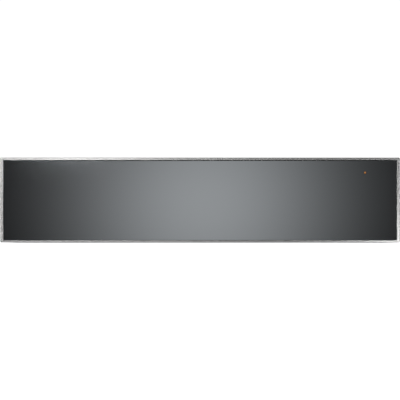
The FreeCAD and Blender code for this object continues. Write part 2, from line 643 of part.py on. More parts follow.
# The drawn tub, with the rim that hangs on the shell and closes it at the top.
tub = body("drawer_tub")
tub_plan = box("-tub_half", "tub_half", "tub_front", "tub_rear", "tub_corner")
pad(tub, "block", "XY", "tub_low", "rim_level", tub_plan)
ease(tub, "tub_edge", level_at("tub_low"))
document.recompute()
shell = tub.newObject("PartDesign::Thickness", "shell")
faces = shell.BaseFeature.Shape.Faces
rim_z = number("rim_level")
mouth = [f"Face{k}" for k, face in enumerate(faces, 1) if face.BoundBox.ZMin > rim_z - 0.1]
shell.Base = (shell.BaseFeature, mouth)
shell.setExpression("Value", bound("steel"))
shell.Reversed = True
rim = box(f"-{DRAWER_OUT}", DRAWER_OUT, FRONT_BACK, "drawer_rear")
control_opening = box("control_left", "control_right", f"{FRONT_BACK} + 3", "tub_front - 2", "3")
pad(tub, "rim", "XY", "rim_level - steel", "rim_level", rim, tub_plan, control_opening)
rear_wall = ("tub_rear - steel", "tub_rear")
outlets = [box(*span(side, "36", "56"), "fan_level - 20", "fan_level + 20", "3") for side in (-1, 1)]
cut(tub, "air_ways", "XZ", *rear_wall, circle("0", "fan_level", "fan_radius - 3"), *outlets)

seal = body("floor_seal")
seal_edges = []
for inset in (6.2, 14):
    across = f"-(tub_half - {inset})", f"tub_half - {inset}"
    along = f"tub_front + {inset}", f"tub_rear - {inset}"
    seal_edges.append(box(*across, *along, f"tub_corner - {inset}"))
pad(seal, "ring", "XY", "tub_low + steel", GLASS_FLOOR, *seal_edges)

floor = body("glass_floor")
across, along = ("-(tub_half - 3.4)", "tub_half - 3.4"), ("tub_front + 3.4", "tub_rear - 3.4")
floor_edge = box(*across, *along, "tub_corner - 3.4")
pad(floor, "plate", "XY", GLASS_FLOOR, f"{GLASS_FLOOR} + floor_glass", floor_edge)
ease(floor, "0.6", level_at(f"{GLASS_FLOOR} + floor_glass"), "Chamfer")

# The floor heater under the tub.
spreader = body("heater_plate")
pad(spreader, "plate", "XY", "tub_low - plate_thick", "tub_low", box("-215", "215", "-195", "181", "10"))

band = body("heating_band")
runs = 9
serpentine = [("-205", "-168")]
for k in range(runs):
    y = f"(-168 + {k} * band_pitch)"
    turn_x = 190 if k % 2 == 0 else -190
    if k:
        serpentine.append((-turn_x, y, "band_pitch / 2 - band_wide / 2 - 0.05"))
    if k + 1 < runs:
        serpentine.append((turn_x, y, "band_pitch / 2 - band_wide / 2 - 0.05"))
serpentine.append(("205", f"(-168 + {runs - 1} * band_pitch)"))
band_top = "tub_low - plate_thick"
pad(band, "track", "XY", f"{band_top} - band_thick", band_top, strip(serpentine, "band_wide"))

mat = body("insulation_mat")
mat_edge = box("-238", "238", "-225", "215", "8")
pad(mat, "mat", "XY", "drawer_low + steel", f"{band_top} - band_thick", mat_edge, circle("120", "12", "14"))

cutout = body("thermal_cutout")
place(cutout, "120", "12", band_top)
pad(cutout, "can", "XY", "-9", "0", circle("0", "0", "8"))
pad(cutout, "ears", "XY", "-1", "0", box("-13", "13", "-4", "4", "2"))
pad(cutout, "tabs", "XY", "-11", "-9", box("-5", "-4.2", "-2.4", "2.4"), box("4.2", "5", "-2.4", "2.4"))

# The circulating-air unit behind the tub's rear wall, drawn about the fan's axis.
grille = body("fan_grille")
place(grille, "0", "tub_rear - steel", "fan_level")
pad(grille, "face", "XZ", "-3", "0", box("-62", "62", "-31", "31", "10"))
cut(grille, "hollow", "XZ", "-2", "0", box("-61", "61", "-30", "30", "9"))
ease(grille, "0.9", level_at("-3", "Y"))
slot = cut(grille, "slot", "XZ", "-3", "-2", box("-55", "-51.5", "-24", "24", "1.7"))
row(grille, slot, "X", "106.5", 16)

fan_box = body("fan_housing")
place(fan_box, "0", "tub_rear", "fan_level")
pad(fan_box, "box", "XZ", "0", "18", box("-64", "64", "-35", "35", "6"))
cut(fan_box, "hollow", "XZ", "0", "17", box("-63", "63", "-34", "34", "5"))
leg_places = [("31", "0"), ("31 * cos(300)", "31 * sin(300)")]
leg_holes = [circle(x, z, "2.1") for x, z in leg_places]
cut(fan_box, "holes", "XZ", "17", "18", circle("0", "0", "8"), *leg_holes)
flange_loops = box("-70", "70", "-37", "37", "3"), box("-63", "63", "-34", "34", "5")
pad(fan_box, "flange", "XZ", "0", "1", *flange_loops)

motor = body("fan_motor")
place(motor, "0", "tub_rear + 18", "fan_level")
pad(motor, "can", "XZ", "0", "17", circle("0", "0", "17"))
pad(motor, "ears", "XZ", "0", "1.5", box("-25", "25", "-6", "6", "4"))
pad(motor, "boss", "XZ", "-2", "0", circle("0", "0", "6"))
pad(motor, "connector", "XZ", "3", "15", box("-8", "8", "-21", "-12"))
cut(motor, "bearing", "XZ", "-2", "8", circle("0", "0", "1.56"))
ease(motor, "1.5", level_at("17", "Y"), "Chamfer")

shaft = body("motor_shaft")
place(shaft, "0", "tub_rear + 3", "fan_level")
pad(shaft, "rod", "XZ", "0", "22", circle("0", "0", "1.5"))

wheel = body("fan_wheel")
place(wheel, "0", "tub_rear + 3", "fan_level")
pad(wheel, "back", "XZ", "10", "11", circle("0", "0", "fan_radius"), circle("0", "0", "1.5"))
pad(wheel, "hub", "XZ", "1", "10.5", circle("0", "0", "5"), circle("0", "0", "1.5"))
blade_line = [("4.5", "0"), ("fan_radius * 0.55", "fan_radius * 0.12", "fan_radius * 0.5")]
blade_line += [("fan_radius * 0.92", "fan_radius * 0.36")]
blade = pad(wheel, "blade", "XZ", "1", "10.5", strip(blade_line, "1"))
ring_of(wheel, blade, "Y", 11)

heater = body("air_heater")
place(heater, "0", "tub_rear + 9", "fan_level")
turned(heater, "ring", "XY", "V_Axis", polygon(8, "31", "0", "2"), 300)
pad(heater, "legs", "XZ", "0", "15", *[circle(x, z, "2") for x, z in leg_places])

# The temperature selector in its recess on the rim.
CONTROL_FLOOR = "(rim_level - control_deep)"
panel = body("control_panel")
tray = ["control_left + 0.3", "control_right - 0.3", f"{FRONT_BACK} + 3.3", "tub_front - 2.3"]
inside = ["control_left + 1.3", "control_right - 1.3", f"{FRONT_BACK} + 4.3", "tub_front - 3.3"]
lip_edge = ["control_left - 2", "control_right + 2", f"{FRONT_BACK} + 1", "tub_front - 0.2"]
pad(panel, "tray", "XY", f"{CONTROL_FLOOR} - steel", "rim_level", box(*tray, "2.7"))
pad(panel, "lip", "XY", "rim_level", "rim_level + 0.6", box(*lip_edge, "4.5"))
cut(panel, "hollow", "XY", CONTROL_FLOOR, "rim_level + 0.6", box(*inside, "2"))
spindle_hole = circle("knob_x", "knob_y", "4.1")
cut(panel, "spindle_hole", "XY", f"{CONTROL_FLOOR} - steel", CONTROL_FLOOR, spindle_hole)

switch = body("selector_switch")
place(switch, "knob_x", "knob_y", f"{CONTROL_FLOOR} - steel")
pad(switch, "case", "XY", "-30", "0", box("-13", "13", "-12", "12", "1.5"))
pad(switch, "bush", "XY", "0", "1.4", circle("0", "0", "4"))
cut(switch, "bore", "XY", "-14", "1.4", circle("0", "0", "3.06"))
tags = [box(f"{k} - 0.4", f"{k} + 0.4", "-2.4", "2.4") for k in (-8, 8)]
pad(switch, "tags", "XY", "-34", "-30", *tags)

spindle = body("switch_spindle")
place(spindle, "knob_x", "knob_y", CONTROL_FLOOR)
pad(spindle, "rod", "XY", "-12", "8", circle("0", "0", "3"))
cut(spindle, "flat", "XY", "0.6", "8", box("1.6", "4", "-4", "4"))

knob = body("control_knob")
place(knob, "knob_x", "knob_y", CONTROL_FLOOR)
pad(knob, "barrel", "XY", "0.7", "12", circle("0", "0", "knob_radius"))
ease(knob, "1", level_at("12"), "Chamfer")
flute = cut(knob, "flute", "XY", "3", "12", circle("knob_radius + 0.9", "0", "1.5"))
ring_of(knob, flute, "Z", 15)
cut(knob, "socket", "XY", "0.7", "8", circle("0", "0", "3"))
pad(knob, "flat_key", "XY", "0.7", "8", [("1.6", "-2.6"), ("3.4", "-2.6"), ("3.4", "2.6"), ("1.6", "2.6")])
pad(knob, "pointer", "XY", "12", "12.4", box("-8.5", "-2", "-0.6", "0.6", "0.5"))


def inset_front(inset, radius):
    """The front panel's outline, drawn in by an inset all round."""
    across = f"-(front_wide / 2 - ({inset}))", f"front_wide / 2 - ({inset})"
    return box(*across, f"front_low + {inset}", f"{FRONT_TOP} - ({inset})", radius)


def around_glass(inset, radius):
    """The frame's opening for the glass, drawn in by an inset all round."""
    half = f"(front_wide / 2 - lip_side - ({inset}))"
    low, high = f"front_low + lip_foot + ({inset})", f"{FRONT_TOP} - lip_top - ({inset})"
    return box(f"-{half}", half, low, high, radius)


# The front: a steel frame with the glass bonded in it, closed at the back by a tray. The glass
# stands on the frame's foot, so that the gap shows over it.
frame = body("front_frame")
pad(frame, "block", "XZ", FRONT, FRONT_BACK, inset_front("0", "corner"))
cut(frame, "glass_seat", "XZ", FRONT, SEAT, around_glass("0", "0.8"))
cut(frame, "window", "XZ", SEAT, f"{SEAT} + frame_wall", around_glass("shelf", "4"))
cut(frame, "hollow", "XZ", f"{SEAT} + frame_wall", FRONT_BACK, inset_front("frame_wall", "1"))
at_front = level_at(FRONT, "Y")
edge_x = number("front_wide / 2 - 1.5")
edge_low, edge_high = number("front_low + 1.5"), number(f"{FRONT_TOP} - 1.5")


def outer_front(edge):
    """Whether an edge runs round the outside of the frame's face."""
    middle = edge.CenterOfMass
    outside = abs(middle.x) > edge_x or not edge_low < middle.z < edge_high
    return at_front(edge) and outside


ease(frame, "0.8", outer_front)

glass = body("front_glass")
pane_half = "(front_wide / 2 - lip_side - glass_gap)"
pane_high = "front_low + lip_foot + glass_foot", f"{FRONT_TOP} - lip_top - glass_head"
pane = box(f"-{pane_half}", pane_half, *pane_high, "0.6")
lamp_hole = circle("lamp_x", "lamp_z", "1.8")
pad(glass, "pane", "XZ", f"{FRONT} + glass_recess", GLASS_BACK, pane, lamp_hole)
pane_edge = level_at(f"{FRONT} + glass_recess", "Y")
ease(glass, "0.5", lambda edge: pane_edge(edge) and edge.Length > 8 * number("lip_side"), "Chamfer")

tape = body("glass_bond_tape")
tape_ring = around_glass("1", "1"), around_glass("shelf - 1", "3")
pad(tape, "ring", "XZ", GLASS_BACK, SEAT, *tape_ring)

tray_back = body("front_inner_panel")
tray_inside = f"{FRONT_BACK} - steel"
pad(tray_back, "block", "XZ", f"{FRONT_BACK} - 11", FRONT_BACK, inset_front("frame_wall + 0.4", "1.5"))
tray_hollow = inset_front("frame_wall + 0.4 + steel", "0.8")
cut(tray_back, "hollow", "XZ", f"{FRONT_BACK} - 11", tray_inside, tray_hollow)
bolt_places = [(on_side(side, "front_bolt_x"), z) for side in (-1, 1) for z in (30, 90)]
shanks = [circle(x, z, "2.1") for x, z in bolt_places]
heads = [circle(x, z, "3.8") for x, z in bolt_places]
cut(tray_back, "bolt_holes", "XZ", tray_inside, FRONT_BACK, *shanks)

front_screws = body("front_screws")
pad(front_screws, "shanks", "XZ", tray_inside, f"{FRONT_BACK} + 5", *shanks)
pad(front_screws, "heads", "XZ", f"{tray_inside} - 2.2", tray_inside, *heads)

lens = body("indicator_lens")
place(lens, "lamp_x", f"{FRONT} + glass_recess", "lamp_z")
pipe = [("0", "0"), ("1.2", "0"), ("1.75", "0.5"), ("1.75", "glass_thick"), ("3", "glass_thick")]
pipe += [("3", "glass_thick + 2"), ("1.75", "glass_thick + 2"), ("1.75", "12"), ("0", "12")]
turned(lens, "pipe", "XY", "V_Axis", pipe)

board = body("indicator_board")
place(board, "lamp_x", f"{FRONT_BACK} - steel", "lamp_z - 2")
pad(board, "plate", "XZ", "-6.6", "-5", box("-15", "15", "-10", "10", "1"))
pad(board, "lamp", "XZ", "-8.8", "-6.6", circle("0", "2", "2.5"))
pad(board, "posts", "XZ", "-5", "0", circle("-11", "-6", "2"), circle("11", "-6", "2"))

# The wiring loom, held along the drawer's right side from the switch to the rear compartment.
LOOM_ROUTE = [
    ("knob_x", "knob_y", f"{CONTROL_FLOOR} - 35"),
    ("knob_x", "knob_y", "36"),
    ("tub_half + 14", "knob_y", "36"),
    ("tub_half + 14", "tub_rear + 27", "36"),
    ("0", "tub_rear + 27", "36"),
    ("0", "tub_rear + 27", "fan_level - 21"),
]


def rounded_wire(points, radius):
    """Straight runs joined by tangent arcs."""
    edges, start = [], points[0]
    for before, corner, after in zip(points, points[1:], points[2:]):
        way_in = (corner - before).normalize()
        way_out = (after - corner).normalize()
        first, last = corner - way_in * radius, corner + way_out * radius
        middle = corner + (way_out - way_in) * radius * (1 - math.sqrt(0.5))
        edges.append(Part.LineSegment(start, first).toShape())
        edges.append(Part.Arc(first, middle, last).toShape())
        start = last
    edges.append(Part.LineSegment(start, points[-1]).toShape())
    return Part.Wire(edges)


route = [Vector(*(number(q) for q in point)) for point in LOOM_ROUTE]
spine = rounded_wire(route, 3.4 * number("loom"))
turns = [math.radians(45 * k + 22.5) for k in range(9)]
corners = [route[0] + Vector(math.cos(turn), math.sin(turn), 0) * number("loom") for turn in turns]
section = Part.makePolygon(corners)
loom = document.addObject("Part::Feature", "wiring_loom")
loom.Label = "wiring_loom"
loom.Shape = spine.makePipeShell([section], True, False)
pieces.append(loom)
print(f"wiring loom: {spine.Length:.0f} mm long, {loom.Shape.Volume:.0f} mm3")

document.recompute()
failed = [thing.Name for thing in document.Objects if {"Invalid", "Error"} & set(thing.State)]
for feature in document.Objects:
    if feature.TypeId == "PartDesign::Pocket":
        if feature.BaseFeature.Shape.Volume - feature.Shape.Volume < 0.01:
            failed.append(f"{feature.getParentGeoFeatureGroup().Label}: {feature.Name} cuts nothing")
for piece in pieces:
    if piece.Shape.isNull() or not piece.Shape.isValid() or not piece.Shape.Solids:
        failed.append(piece.Label)
if failed:
    raise RuntimeError("these failed: " + ", ".join(failed))

os.makedirs("parts", exist_ok=True)
for piece in pieces:
    piece.Shape.exportStep(f"parts/{piece.Label}.step")
print(len(pieces), "pieces written")
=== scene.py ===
import bpy
import math
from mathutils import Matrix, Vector


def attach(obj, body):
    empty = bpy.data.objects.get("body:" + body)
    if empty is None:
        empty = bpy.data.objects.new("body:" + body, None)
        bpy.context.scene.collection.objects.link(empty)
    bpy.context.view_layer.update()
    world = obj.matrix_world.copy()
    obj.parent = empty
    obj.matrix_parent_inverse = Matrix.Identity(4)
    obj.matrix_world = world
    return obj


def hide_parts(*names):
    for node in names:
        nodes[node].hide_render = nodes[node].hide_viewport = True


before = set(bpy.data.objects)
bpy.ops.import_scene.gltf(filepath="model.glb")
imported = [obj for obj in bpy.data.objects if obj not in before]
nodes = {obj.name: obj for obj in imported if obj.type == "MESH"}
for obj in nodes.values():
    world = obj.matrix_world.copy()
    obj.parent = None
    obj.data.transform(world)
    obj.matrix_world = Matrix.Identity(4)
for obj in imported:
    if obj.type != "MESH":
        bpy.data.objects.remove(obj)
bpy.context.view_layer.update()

# The camera stands square on to the closed front, level with its middle, and the front fills the
# picture's width as it does in the photograph.
front_face, front_width, front_middle = -0.270, 0.590, 0.0633
camera_gap = 2.4
film_width = 36
camera_lens = bpy.data.cameras.new("camera")
camera_lens.sensor_width = film_width
camera_lens.lens = film_width * camera_gap / front_width
camera = bpy.data.objects.new("camera", camera_lens)
camera.location = (0, front_face - camera_gap, front_middle)
camera.rotation_euler = (math.radians(90), 0, 0)
bpy.context.scene.collection.objects.link(camera)
bpy.context.scene.camera = camera
bpy.context.scene.view_settings.view_transform = "Standard"

# The studio: a pale floor under a light tent that is dim straight ahead, so that dark glass stays
# dark. The floor isn't mirrored in the glass, as with a floor that stops short of the front.


def add(tree, kind, inputs=(), **settings):
    """A node of that kind, with its settings and the values of its unlinked inputs."""
    made = tree.nodes.new(kind)
    for name, value in settings.items():
        setattr(made, name, value)
    for socket, value in dict(inputs).items():
        made.inputs[socket].default_value = value
    return made


def join(tree, start, end):
    """Links an output, given as (node, name), to an input, given the same way."""
    tree.links.new(start[0].outputs[start[1]], end[0].inputs[end[1]])


def deselect_all():
    """Operators work on all that is selected, so nothing is selected before a piece is begun."""
    for thing in bpy.context.selected_objects:
        thing.select_set(False)


world = bpy.data.worlds.new("light_tent")
bpy.context.scene.world = world
world.use_nodes = True
tent = world.node_tree
tent.nodes.clear()
way = add(tent, "ShaderNodeTexCoord")
way_parts = add(tent, "ShaderNodeSeparateXYZ")
dim_ahead = add(tent, "ShaderNodeMapRange",
                {"From Min": -0.965, "From Max": -0.72, "To Min": 0.02, "To Max": 1.0},
                interpolation_type="SMOOTHSTEP")
brighter_up = add(tent, "ShaderNodeMapRange",
                  {"From Min": -0.5, "From Max": 0.7, "To Min": 0.18, "To Max": 1.0})
tent_light = add(tent, "ShaderNodeMath", operation="MULTIPLY")
seen_directly = add(tent, "ShaderNodeLightPath")
tent_white = add(tent, "ShaderNodeMix", {"B": 1.05}, data_type="FLOAT")
tent_glow = add(tent, "ShaderNodeBackground", {"Color": (1.0, 1.0, 1.0, 1.0)})
tent_out = add(tent, "ShaderNodeOutputWorld")
join(tent, (way, "Generated"), (way_parts, "Vector"))
join(tent, (way_parts, "Y"), (dim_ahead, "Value"))
join(tent, (way_parts, "Z"), (brighter_up, "Value"))
join(tent, (dim_ahead, "Result"), (tent_light, 0))
join(tent, (brighter_up, "Result"), (tent_light, 1))
join(tent, (seen_directly, "Is Camera Ray"), (tent_white, "Factor"))
join(tent, (tent_light, "Value"), (tent_white, "A"))
join(tent, (tent_white, "Result"), (tent_glow, "Strength"))
join(tent, (tent_glow, "Background"), (tent_out, "Surface"))

floor_size, floor_level = 40, -0.0003
deselect_all()
bpy.ops.mesh.primitive_plane_add(size=floor_size, location=(0, 0, floor_level))
floor = bpy.context.object
floor.name = "studio_floor"
floor.visible_glossy = False
floor_paint = bpy.data.materials.new("pale_floor")
floor_paint.use_nodes = True
floor_shader = floor_paint.node_tree.nodes["Principled BSDF"]
floor_shader.inputs["Base Color"].default_value = (0.55, 0.55, 0.55, 1)
floor_shader.inputs["Roughness"].default_value = 0.9
floor_shader.inputs["Specular IOR Level"].default_value = 0.0
floor_shader.inputs["Emission Color"].default_value = (1, 1, 1, 1)
floor_shader.inputs["Emission Strength"].default_value = 0.62
floor.data.materials.append(floor_paint)


def light_card(name, middle, width, height, strength, soft=None):
    """A card that faces the drawer and shows only in what is glossy. Where soft is given, its light
    fades from its middle: soft is the spread across and up, in metres."""
    deselect_all()
    bpy.ops.mesh.primitive_plane_add(size=1, location=middle)
    card = bpy.context.object
    card.name = name
    aim = Vector((0, front_face, front_middle)) - Vector(middle)
    card.rotation_euler = aim.to_track_quat("Z", "Y").to_euler()
    card.scale = (width, height, 1)
    card.visible_camera = card.visible_diffuse = card.visible_shadow = False
    glow = bpy.data.materials.new(name)
    glow.use_nodes = True
    tree = glow.node_tree
    tree.nodes.clear()
    lamp = add(tree, "ShaderNodeEmission", {"Strength": strength})
    end = add(tree, "ShaderNodeOutputMaterial")
    join(tree, (lamp, "Emission"), (end, "Surface"))
    if soft:
        place = add(tree, "ShaderNodeTexCoord")
        spread = add(tree, "ShaderNodeVectorMath", {1: (width / soft[0], height / soft[1], 0.0)},
                     operation="MULTIPLY")
        squared = add(tree, "ShaderNodeVectorMath", operation="DOT_PRODUCT")
        halved = add(tree, "ShaderNodeMath", {1: -0.5}, operation="MULTIPLY")
        bell = add(tree, "ShaderNodeMath", operation="EXPONENT")
        bright = add(tree, "ShaderNodeMath", {1: strength}, operation="MULTIPLY")
        join(tree, (place, "Object"), (spread, 0))
        join(tree, (spread, "Vector"), (squared, 0))
        join(tree, (spread, "Vector"), (squared, 1))
        join(tree, (squared, "Value"), (halved, 0))
        join(tree, (halved, "Value"), (bell, 0))
        join(tree, (bell, "Value"), (bright, 0))
        join(tree, (bright, "Value"), (lamp, "Strength"))
    card.data.materials.append(glow)


def soft_light(name, place, size, power):
    """A large area light, aimed at the floor under the drawer, that isn't seen and isn't mirrored."""
    lamp = bpy.data.lights.new(name, "AREA")
    lamp.size = size
    lamp.energy = power
    holder = bpy.data.objects.new(name, lamp)
    holder.location = place
    holder.rotation_euler = (-Vector(place)).to_track_quat("-Z", "Y").to_euler()
    holder.visible_camera = holder.visible_glossy = False
    bpy.context.scene.collection.objects.link(holder)


light_card("bell_card", (0.015, -3.27, 0.06), width=2.6, height=2.6, strength=0.86, soft=(0.29, 0.28))
light_card("upper_left_card", (-0.41, -2.9, 0.44), width=0.22, height=0.44, strength=9.0)
light_card("left_card", (-0.95, -2.9, 0.05), width=0.15, height=0.8, strength=6.0)
light_card("lower_left_card", (-0.4, -2.9, -0.36), width=0.7, height=0.2, strength=4.0)
light_card("lower_right_card", (0.76, -2.9, -0.36), width=0.36, height=0.36, strength=15.0)
light_card("right_card", (0.95, -2.9, 0.05), width=0.15, height=0.8, strength=5.0)
soft_light("overhead_light", (0.3, -0.4, 2.6), size=2.6, power=55)
soft_light("fill_light", (-2.2, -1.8, 1.6), size=1.6, power=18)

# The casing is folded from galvanised sheet, whose zinc has set in large flat crystals. The drawer's
# outer shell, the front's inner tray and the fan's housing are of the same sheet.


def new_finish(name, color, metallic, roughness):
    """A material with its shader's plain values, before the surface's own pattern is added."""
    finish = bpy.data.materials.new(name)
    finish.use_nodes = True
    shader = finish.node_tree.nodes["Principled BSDF"]
    shader.inputs["Base Color"].default_value = (*color, 1)
    shader.inputs["Metallic"].default_value = metallic
    shader.inputs["Roughness"].default_value = roughness
    return finish, finish.node_tree, shader


def new_effect(name, inputs, outputs):
    """A node group with named inputs, each (kind, value), and named outputs, each a kind."""
    effect = bpy.data.node_groups.new(name, "ShaderNodeTree")
    for label, (kind, value) in inputs.items():
        socket = effect.interface.new_socket(label, in_out="INPUT", socket_type="NodeSocket" + kind)
        socket.default_value = value
    for label, kind in outputs.items():
        effect.interface.new_socket(label, in_out="OUTPUT", socket_type="NodeSocket" + kind)
    return effect, effect.nodes.new("NodeGroupInput"), effect.nodes.new("NodeGroupOutput")


def use_effect(tree, effect, **values):
    """The effect placed in a material, with its own values."""
    placed = tree.nodes.new("ShaderNodeGroup")
    placed.node_tree = effect
    for label, value in values.items():
        placed.inputs[label].default_value = value
    return placed


def dress(finish, *names):
    """Gives CAD nodes their finish."""
    for name in names:
        skin = nodes[name].data.materials
        skin.clear()
        skin.append(finish)


# Shade variation: a colour made a little lighter and darker by a mask.
varied_shade, shade_in, shade_out = new_effect(
    "varied_shade",
    {"Color": ("Color", (0.5, 0.5, 0.5, 1)), "Mask": ("Float", 0.5), "Amount": ("Float", 0.1)},
    {"Color": "Color"})
shade_centre = add(varied_shade, "ShaderNodeMath", {1: 0.5}, operation="SUBTRACT")
shade_step = add(varied_shade, "ShaderNodeMath", operation="MULTIPLY")
shade_gain = add(varied_shade, "ShaderNodeMath", {1: 1.0}, operation="ADD")
shade_mix = add(varied_shade, "ShaderNodeVectorMath", operation="SCALE")
join(varied_shade, (shade_in, "Mask"), (shade_centre, 0))
join(varied_shade, (shade_centre, "Value"), (shade_step, 0))
join(varied_shade, (shade_in, "Amount"), (shade_step, 1))
join(varied_shade, (shade_step, "Value"), (shade_gain, 0))
join(varied_shade, (shade_in, "Color"), (shade_mix, 0))
join(varied_shade, (shade_gain, "Value"), (shade_mix, "Scale"))
join(varied_shade, (shade_mix, "Vector"), (shade_out, "Color"))

spangle, spangle_in, spangle_out = new_effect(
    "zinc_spangle",
    {"Size": ("Float", 90.0), "Depth": ("Float", 0.05)},
    {"Crystal": "Float", "Normal": "Vector"})
spangle_place = add(spangle, "ShaderNodeTexCoord")
spangle_bend = add(spangle, "ShaderNodeTexNoise", {"Scale": 60.0, "Detail": 2.0})
spangle_shift = add(spangle, "ShaderNodeVectorMath", {1: (0.006, 0.006, 0.006)}, operation="MULTIPLY_ADD")
spangle_cells = add(spangle, "ShaderNodeTexVoronoi", {"Randomness": 1.0})
spangle_value = add(spangle, "ShaderNodeSeparateColor")
spangle_bump = add(spangle, "ShaderNodeBump", {"Distance": 0.0003})
join(spangle, (spangle_place, "Object"), (spangle_bend, "Vector"))
join(spangle, (spangle_bend, "Color"), (spangle_shift, 0))
join(spangle, (spangle_place, "Object"), (spangle_shift, 2))
join(spangle, (spangle_shift, "Vector"), (spangle_cells, "Vector"))
join(spangle, (spangle_in, "Size"), (spangle_cells, "Scale"))
join(spangle, (spangle_cells, "Color"), (spangle_value, "Color"))
join(spangle, (spangle_value, "Red"), (spangle_bump, "Height"))
join(spangle, (spangle_in, "Depth"), (spangle_bump, "Strength"))
join(spangle, (spangle_value, "Red"), (spangle_out, "Crystal"))
join(spangle, (spangle_bump, "Normal"), (spangle_out, "Normal"))

galvanised, tree, shader = new_finish("galvanised_sheet", (0.58, 0.60, 0.61), 1.0, 0.42)
crystals = use_effect(tree, spangle, Size=130.0, Depth=0.03)
zinc_shade = use_effect(tree, varied_shade, Color=(0.56, 0.58, 0.60, 1), Amount=0.13)
zinc_shine = add(tree, "ShaderNodeMapRange", {"To Min": 0.36, "To Max": 0.46})
join(tree, (crystals, "Crystal"), (zinc_shade, "Mask"))
join(tree, (crystals, "Crystal"), (zinc_shine, "Value"))
join(tree, (zinc_shade, "Color"), (shader, "Base Color"))
join(tree, (zinc_shine, "Result"), (shader, "Roughness"))
join(tree, (crystals, "Normal"), (shader, "Normal"))
dress(galvanised, "casing_base", "casing_side_left", "casing_side_right", "casing_top", "casing_rear")

# The top is held by six countersunk screws of 4 mm with cross recesses, flush with the sheet so that
# an oven can stand on it. They are cold-headed steel, zinc plated.

# Handling marks: broad soft patches where the surface is a little duller or shinier.
handling_marks, marks_in, marks_out = new_effect(
    "handling_marks",
    {"Size": ("Float", 9.0), "Low": ("Float", 0.3), "High": ("Float", 0.4)},
    {"Roughness": "Float", "Patch": "Float"})
marks_place = add(handling_marks, "ShaderNodeTexCoord")
marks_noise = add(handling_marks, "ShaderNodeTexNoise", {"Detail": 5.0, "Roughness": 0.65, "Distortion": 0.4})
marks_range = add(handling_marks, "ShaderNodeMapRange", {"From Min": 0.3, "From Max": 0.7})
join(handling_marks, (marks_place, "Object"), (marks_noise, "Vector"))
join(handling_marks, (marks_in, "Size"), (marks_noise, "Scale"))
join(handling_marks, (marks_noise, "Fac"), (marks_range, "Value"))
join(handling_marks, (marks_in, "Low"), (marks_range, "To Min"))
join(handling_marks, (marks_in, "High"), (marks_range, "To Max"))
join(handling_marks, (marks_range, "Result"), (marks_out, "Roughness"))
join(handling_marks, (marks_noise, "Fac"), (marks_out, "Patch"))

plated, tree, shader = new_finish("plated_screw", (0.66, 0.66, 0.68), 1.0, 0.25)
plate_marks = use_effect(tree, handling_marks, Size=700.0, Low=0.2, High=0.38)
plate_shade = use_effect(tree, varied_shade, Color=(0.66, 0.66, 0.69, 1), Amount=0.25)
join(tree, (plate_marks, "Patch"), (plate_shade, "Mask"))
join(tree, (plate_shade, "Color"), (shader, "Base Color"))
join(tree, (plate_marks, "Roughness"), (shader, "Roughness"))


def cross_screw(name, head_radius, head_high, seat_radius, shank_radius, shank_long):
    """A screw that points down from a head whose top is at the origin, with a cross recess."""
    facing_down, point_taper = -0.9, 0.7
    blade_long, blade_thick, blade_deep, edge_round = 1.15, 0.24, 1.1, 0.04
    deselect_all()
    bpy.ops.mesh.primitive_cylinder_add(vertices=32, radius=head_radius, depth=head_high,
                                        location=(0, 0, -head_high / 2))
    screw = bpy.context.object
    screw.name = name
    bpy.ops.object.mode_set(mode="EDIT")
    bpy.ops.mesh.select_mode(type="FACE")
    bpy.ops.mesh.select_all(action="DESELECT")
    bpy.ops.object.mode_set(mode="OBJECT")
    for face in screw.data.polygons:
        face.select = face.normal.z < facing_down
    bpy.ops.object.mode_set(mode="EDIT")
    shrink = seat_radius / head_radius
    bpy.ops.transform.resize(value=(shrink, shrink, 1))
    bpy.ops.mesh.inset(thickness=seat_radius - shank_radius)
    bpy.ops.mesh.extrude_region_move(TRANSFORM_OT_translate={"value": (0, 0, -shank_long)})
    bpy.ops.transform.resize(value=(point_taper, point_taper, 1))
    bpy.ops.object.mode_set(mode="OBJECT")
    bpy.ops.object.transform_apply(location=True, rotation=True, scale=True)
    for turn in (0, math.pi / 2):
        deselect_all()
        bpy.ops.mesh.primitive_cube_add(size=1, rotation=(0, 0, turn))
        blade = bpy.context.object
        blade.scale = (head_radius * blade_long, head_radius * blade_thick, head_high * blade_deep)
        cut = screw.modifiers.new("recess", "BOOLEAN")
        cut.operation = "DIFFERENCE"
        cut.solver = "EXACT"
        cut.object = blade
        deselect_all()
        screw.select_set(True)
        bpy.context.view_layer.objects.active = screw
        bpy.ops.object.modifier_apply(modifier=cut.name)
        bpy.data.objects.remove(blade)
    edge = screw.modifiers.new("edge", "BEVEL")
    edge.width = head_radius * edge_round
    edge.segments = 2
    edge.limit_method = "ANGLE"
    edge.angle_limit = math.radians(50)
    bpy.ops.object.modifier_apply(modifier=edge.name)
    return screw


def set_out(pattern, name, places):
    """Copies a fastener to each of its places, each (point, turn), joined as one piece."""
    copies = []
    for point, turn in places:
        copy = pattern.copy()
        copy.data = pattern.data.copy()
        bpy.context.scene.collection.objects.link(copy)
        copy.location = point
        copy.rotation_euler = turn
        copies.append(copy)
    bpy.data.objects.remove(pattern)
    deselect_all()
    for copy in copies:
        copy.select_set(True)
    bpy.context.view_layer.objects.active = copies[0]
    bpy.ops.object.join()
    piece = bpy.context.object
    bpy.ops.object.transform_apply(location=True, rotation=True, scale=True)
    bpy.ops.object.shade_smooth_by_angle(angle=math.radians(35))
    piece.name = name
    return piece


top_across, top_along = 0.2725, (-0.215, 0.0, 0.225)
top_level, top_sunk = 0.122, 0.00005
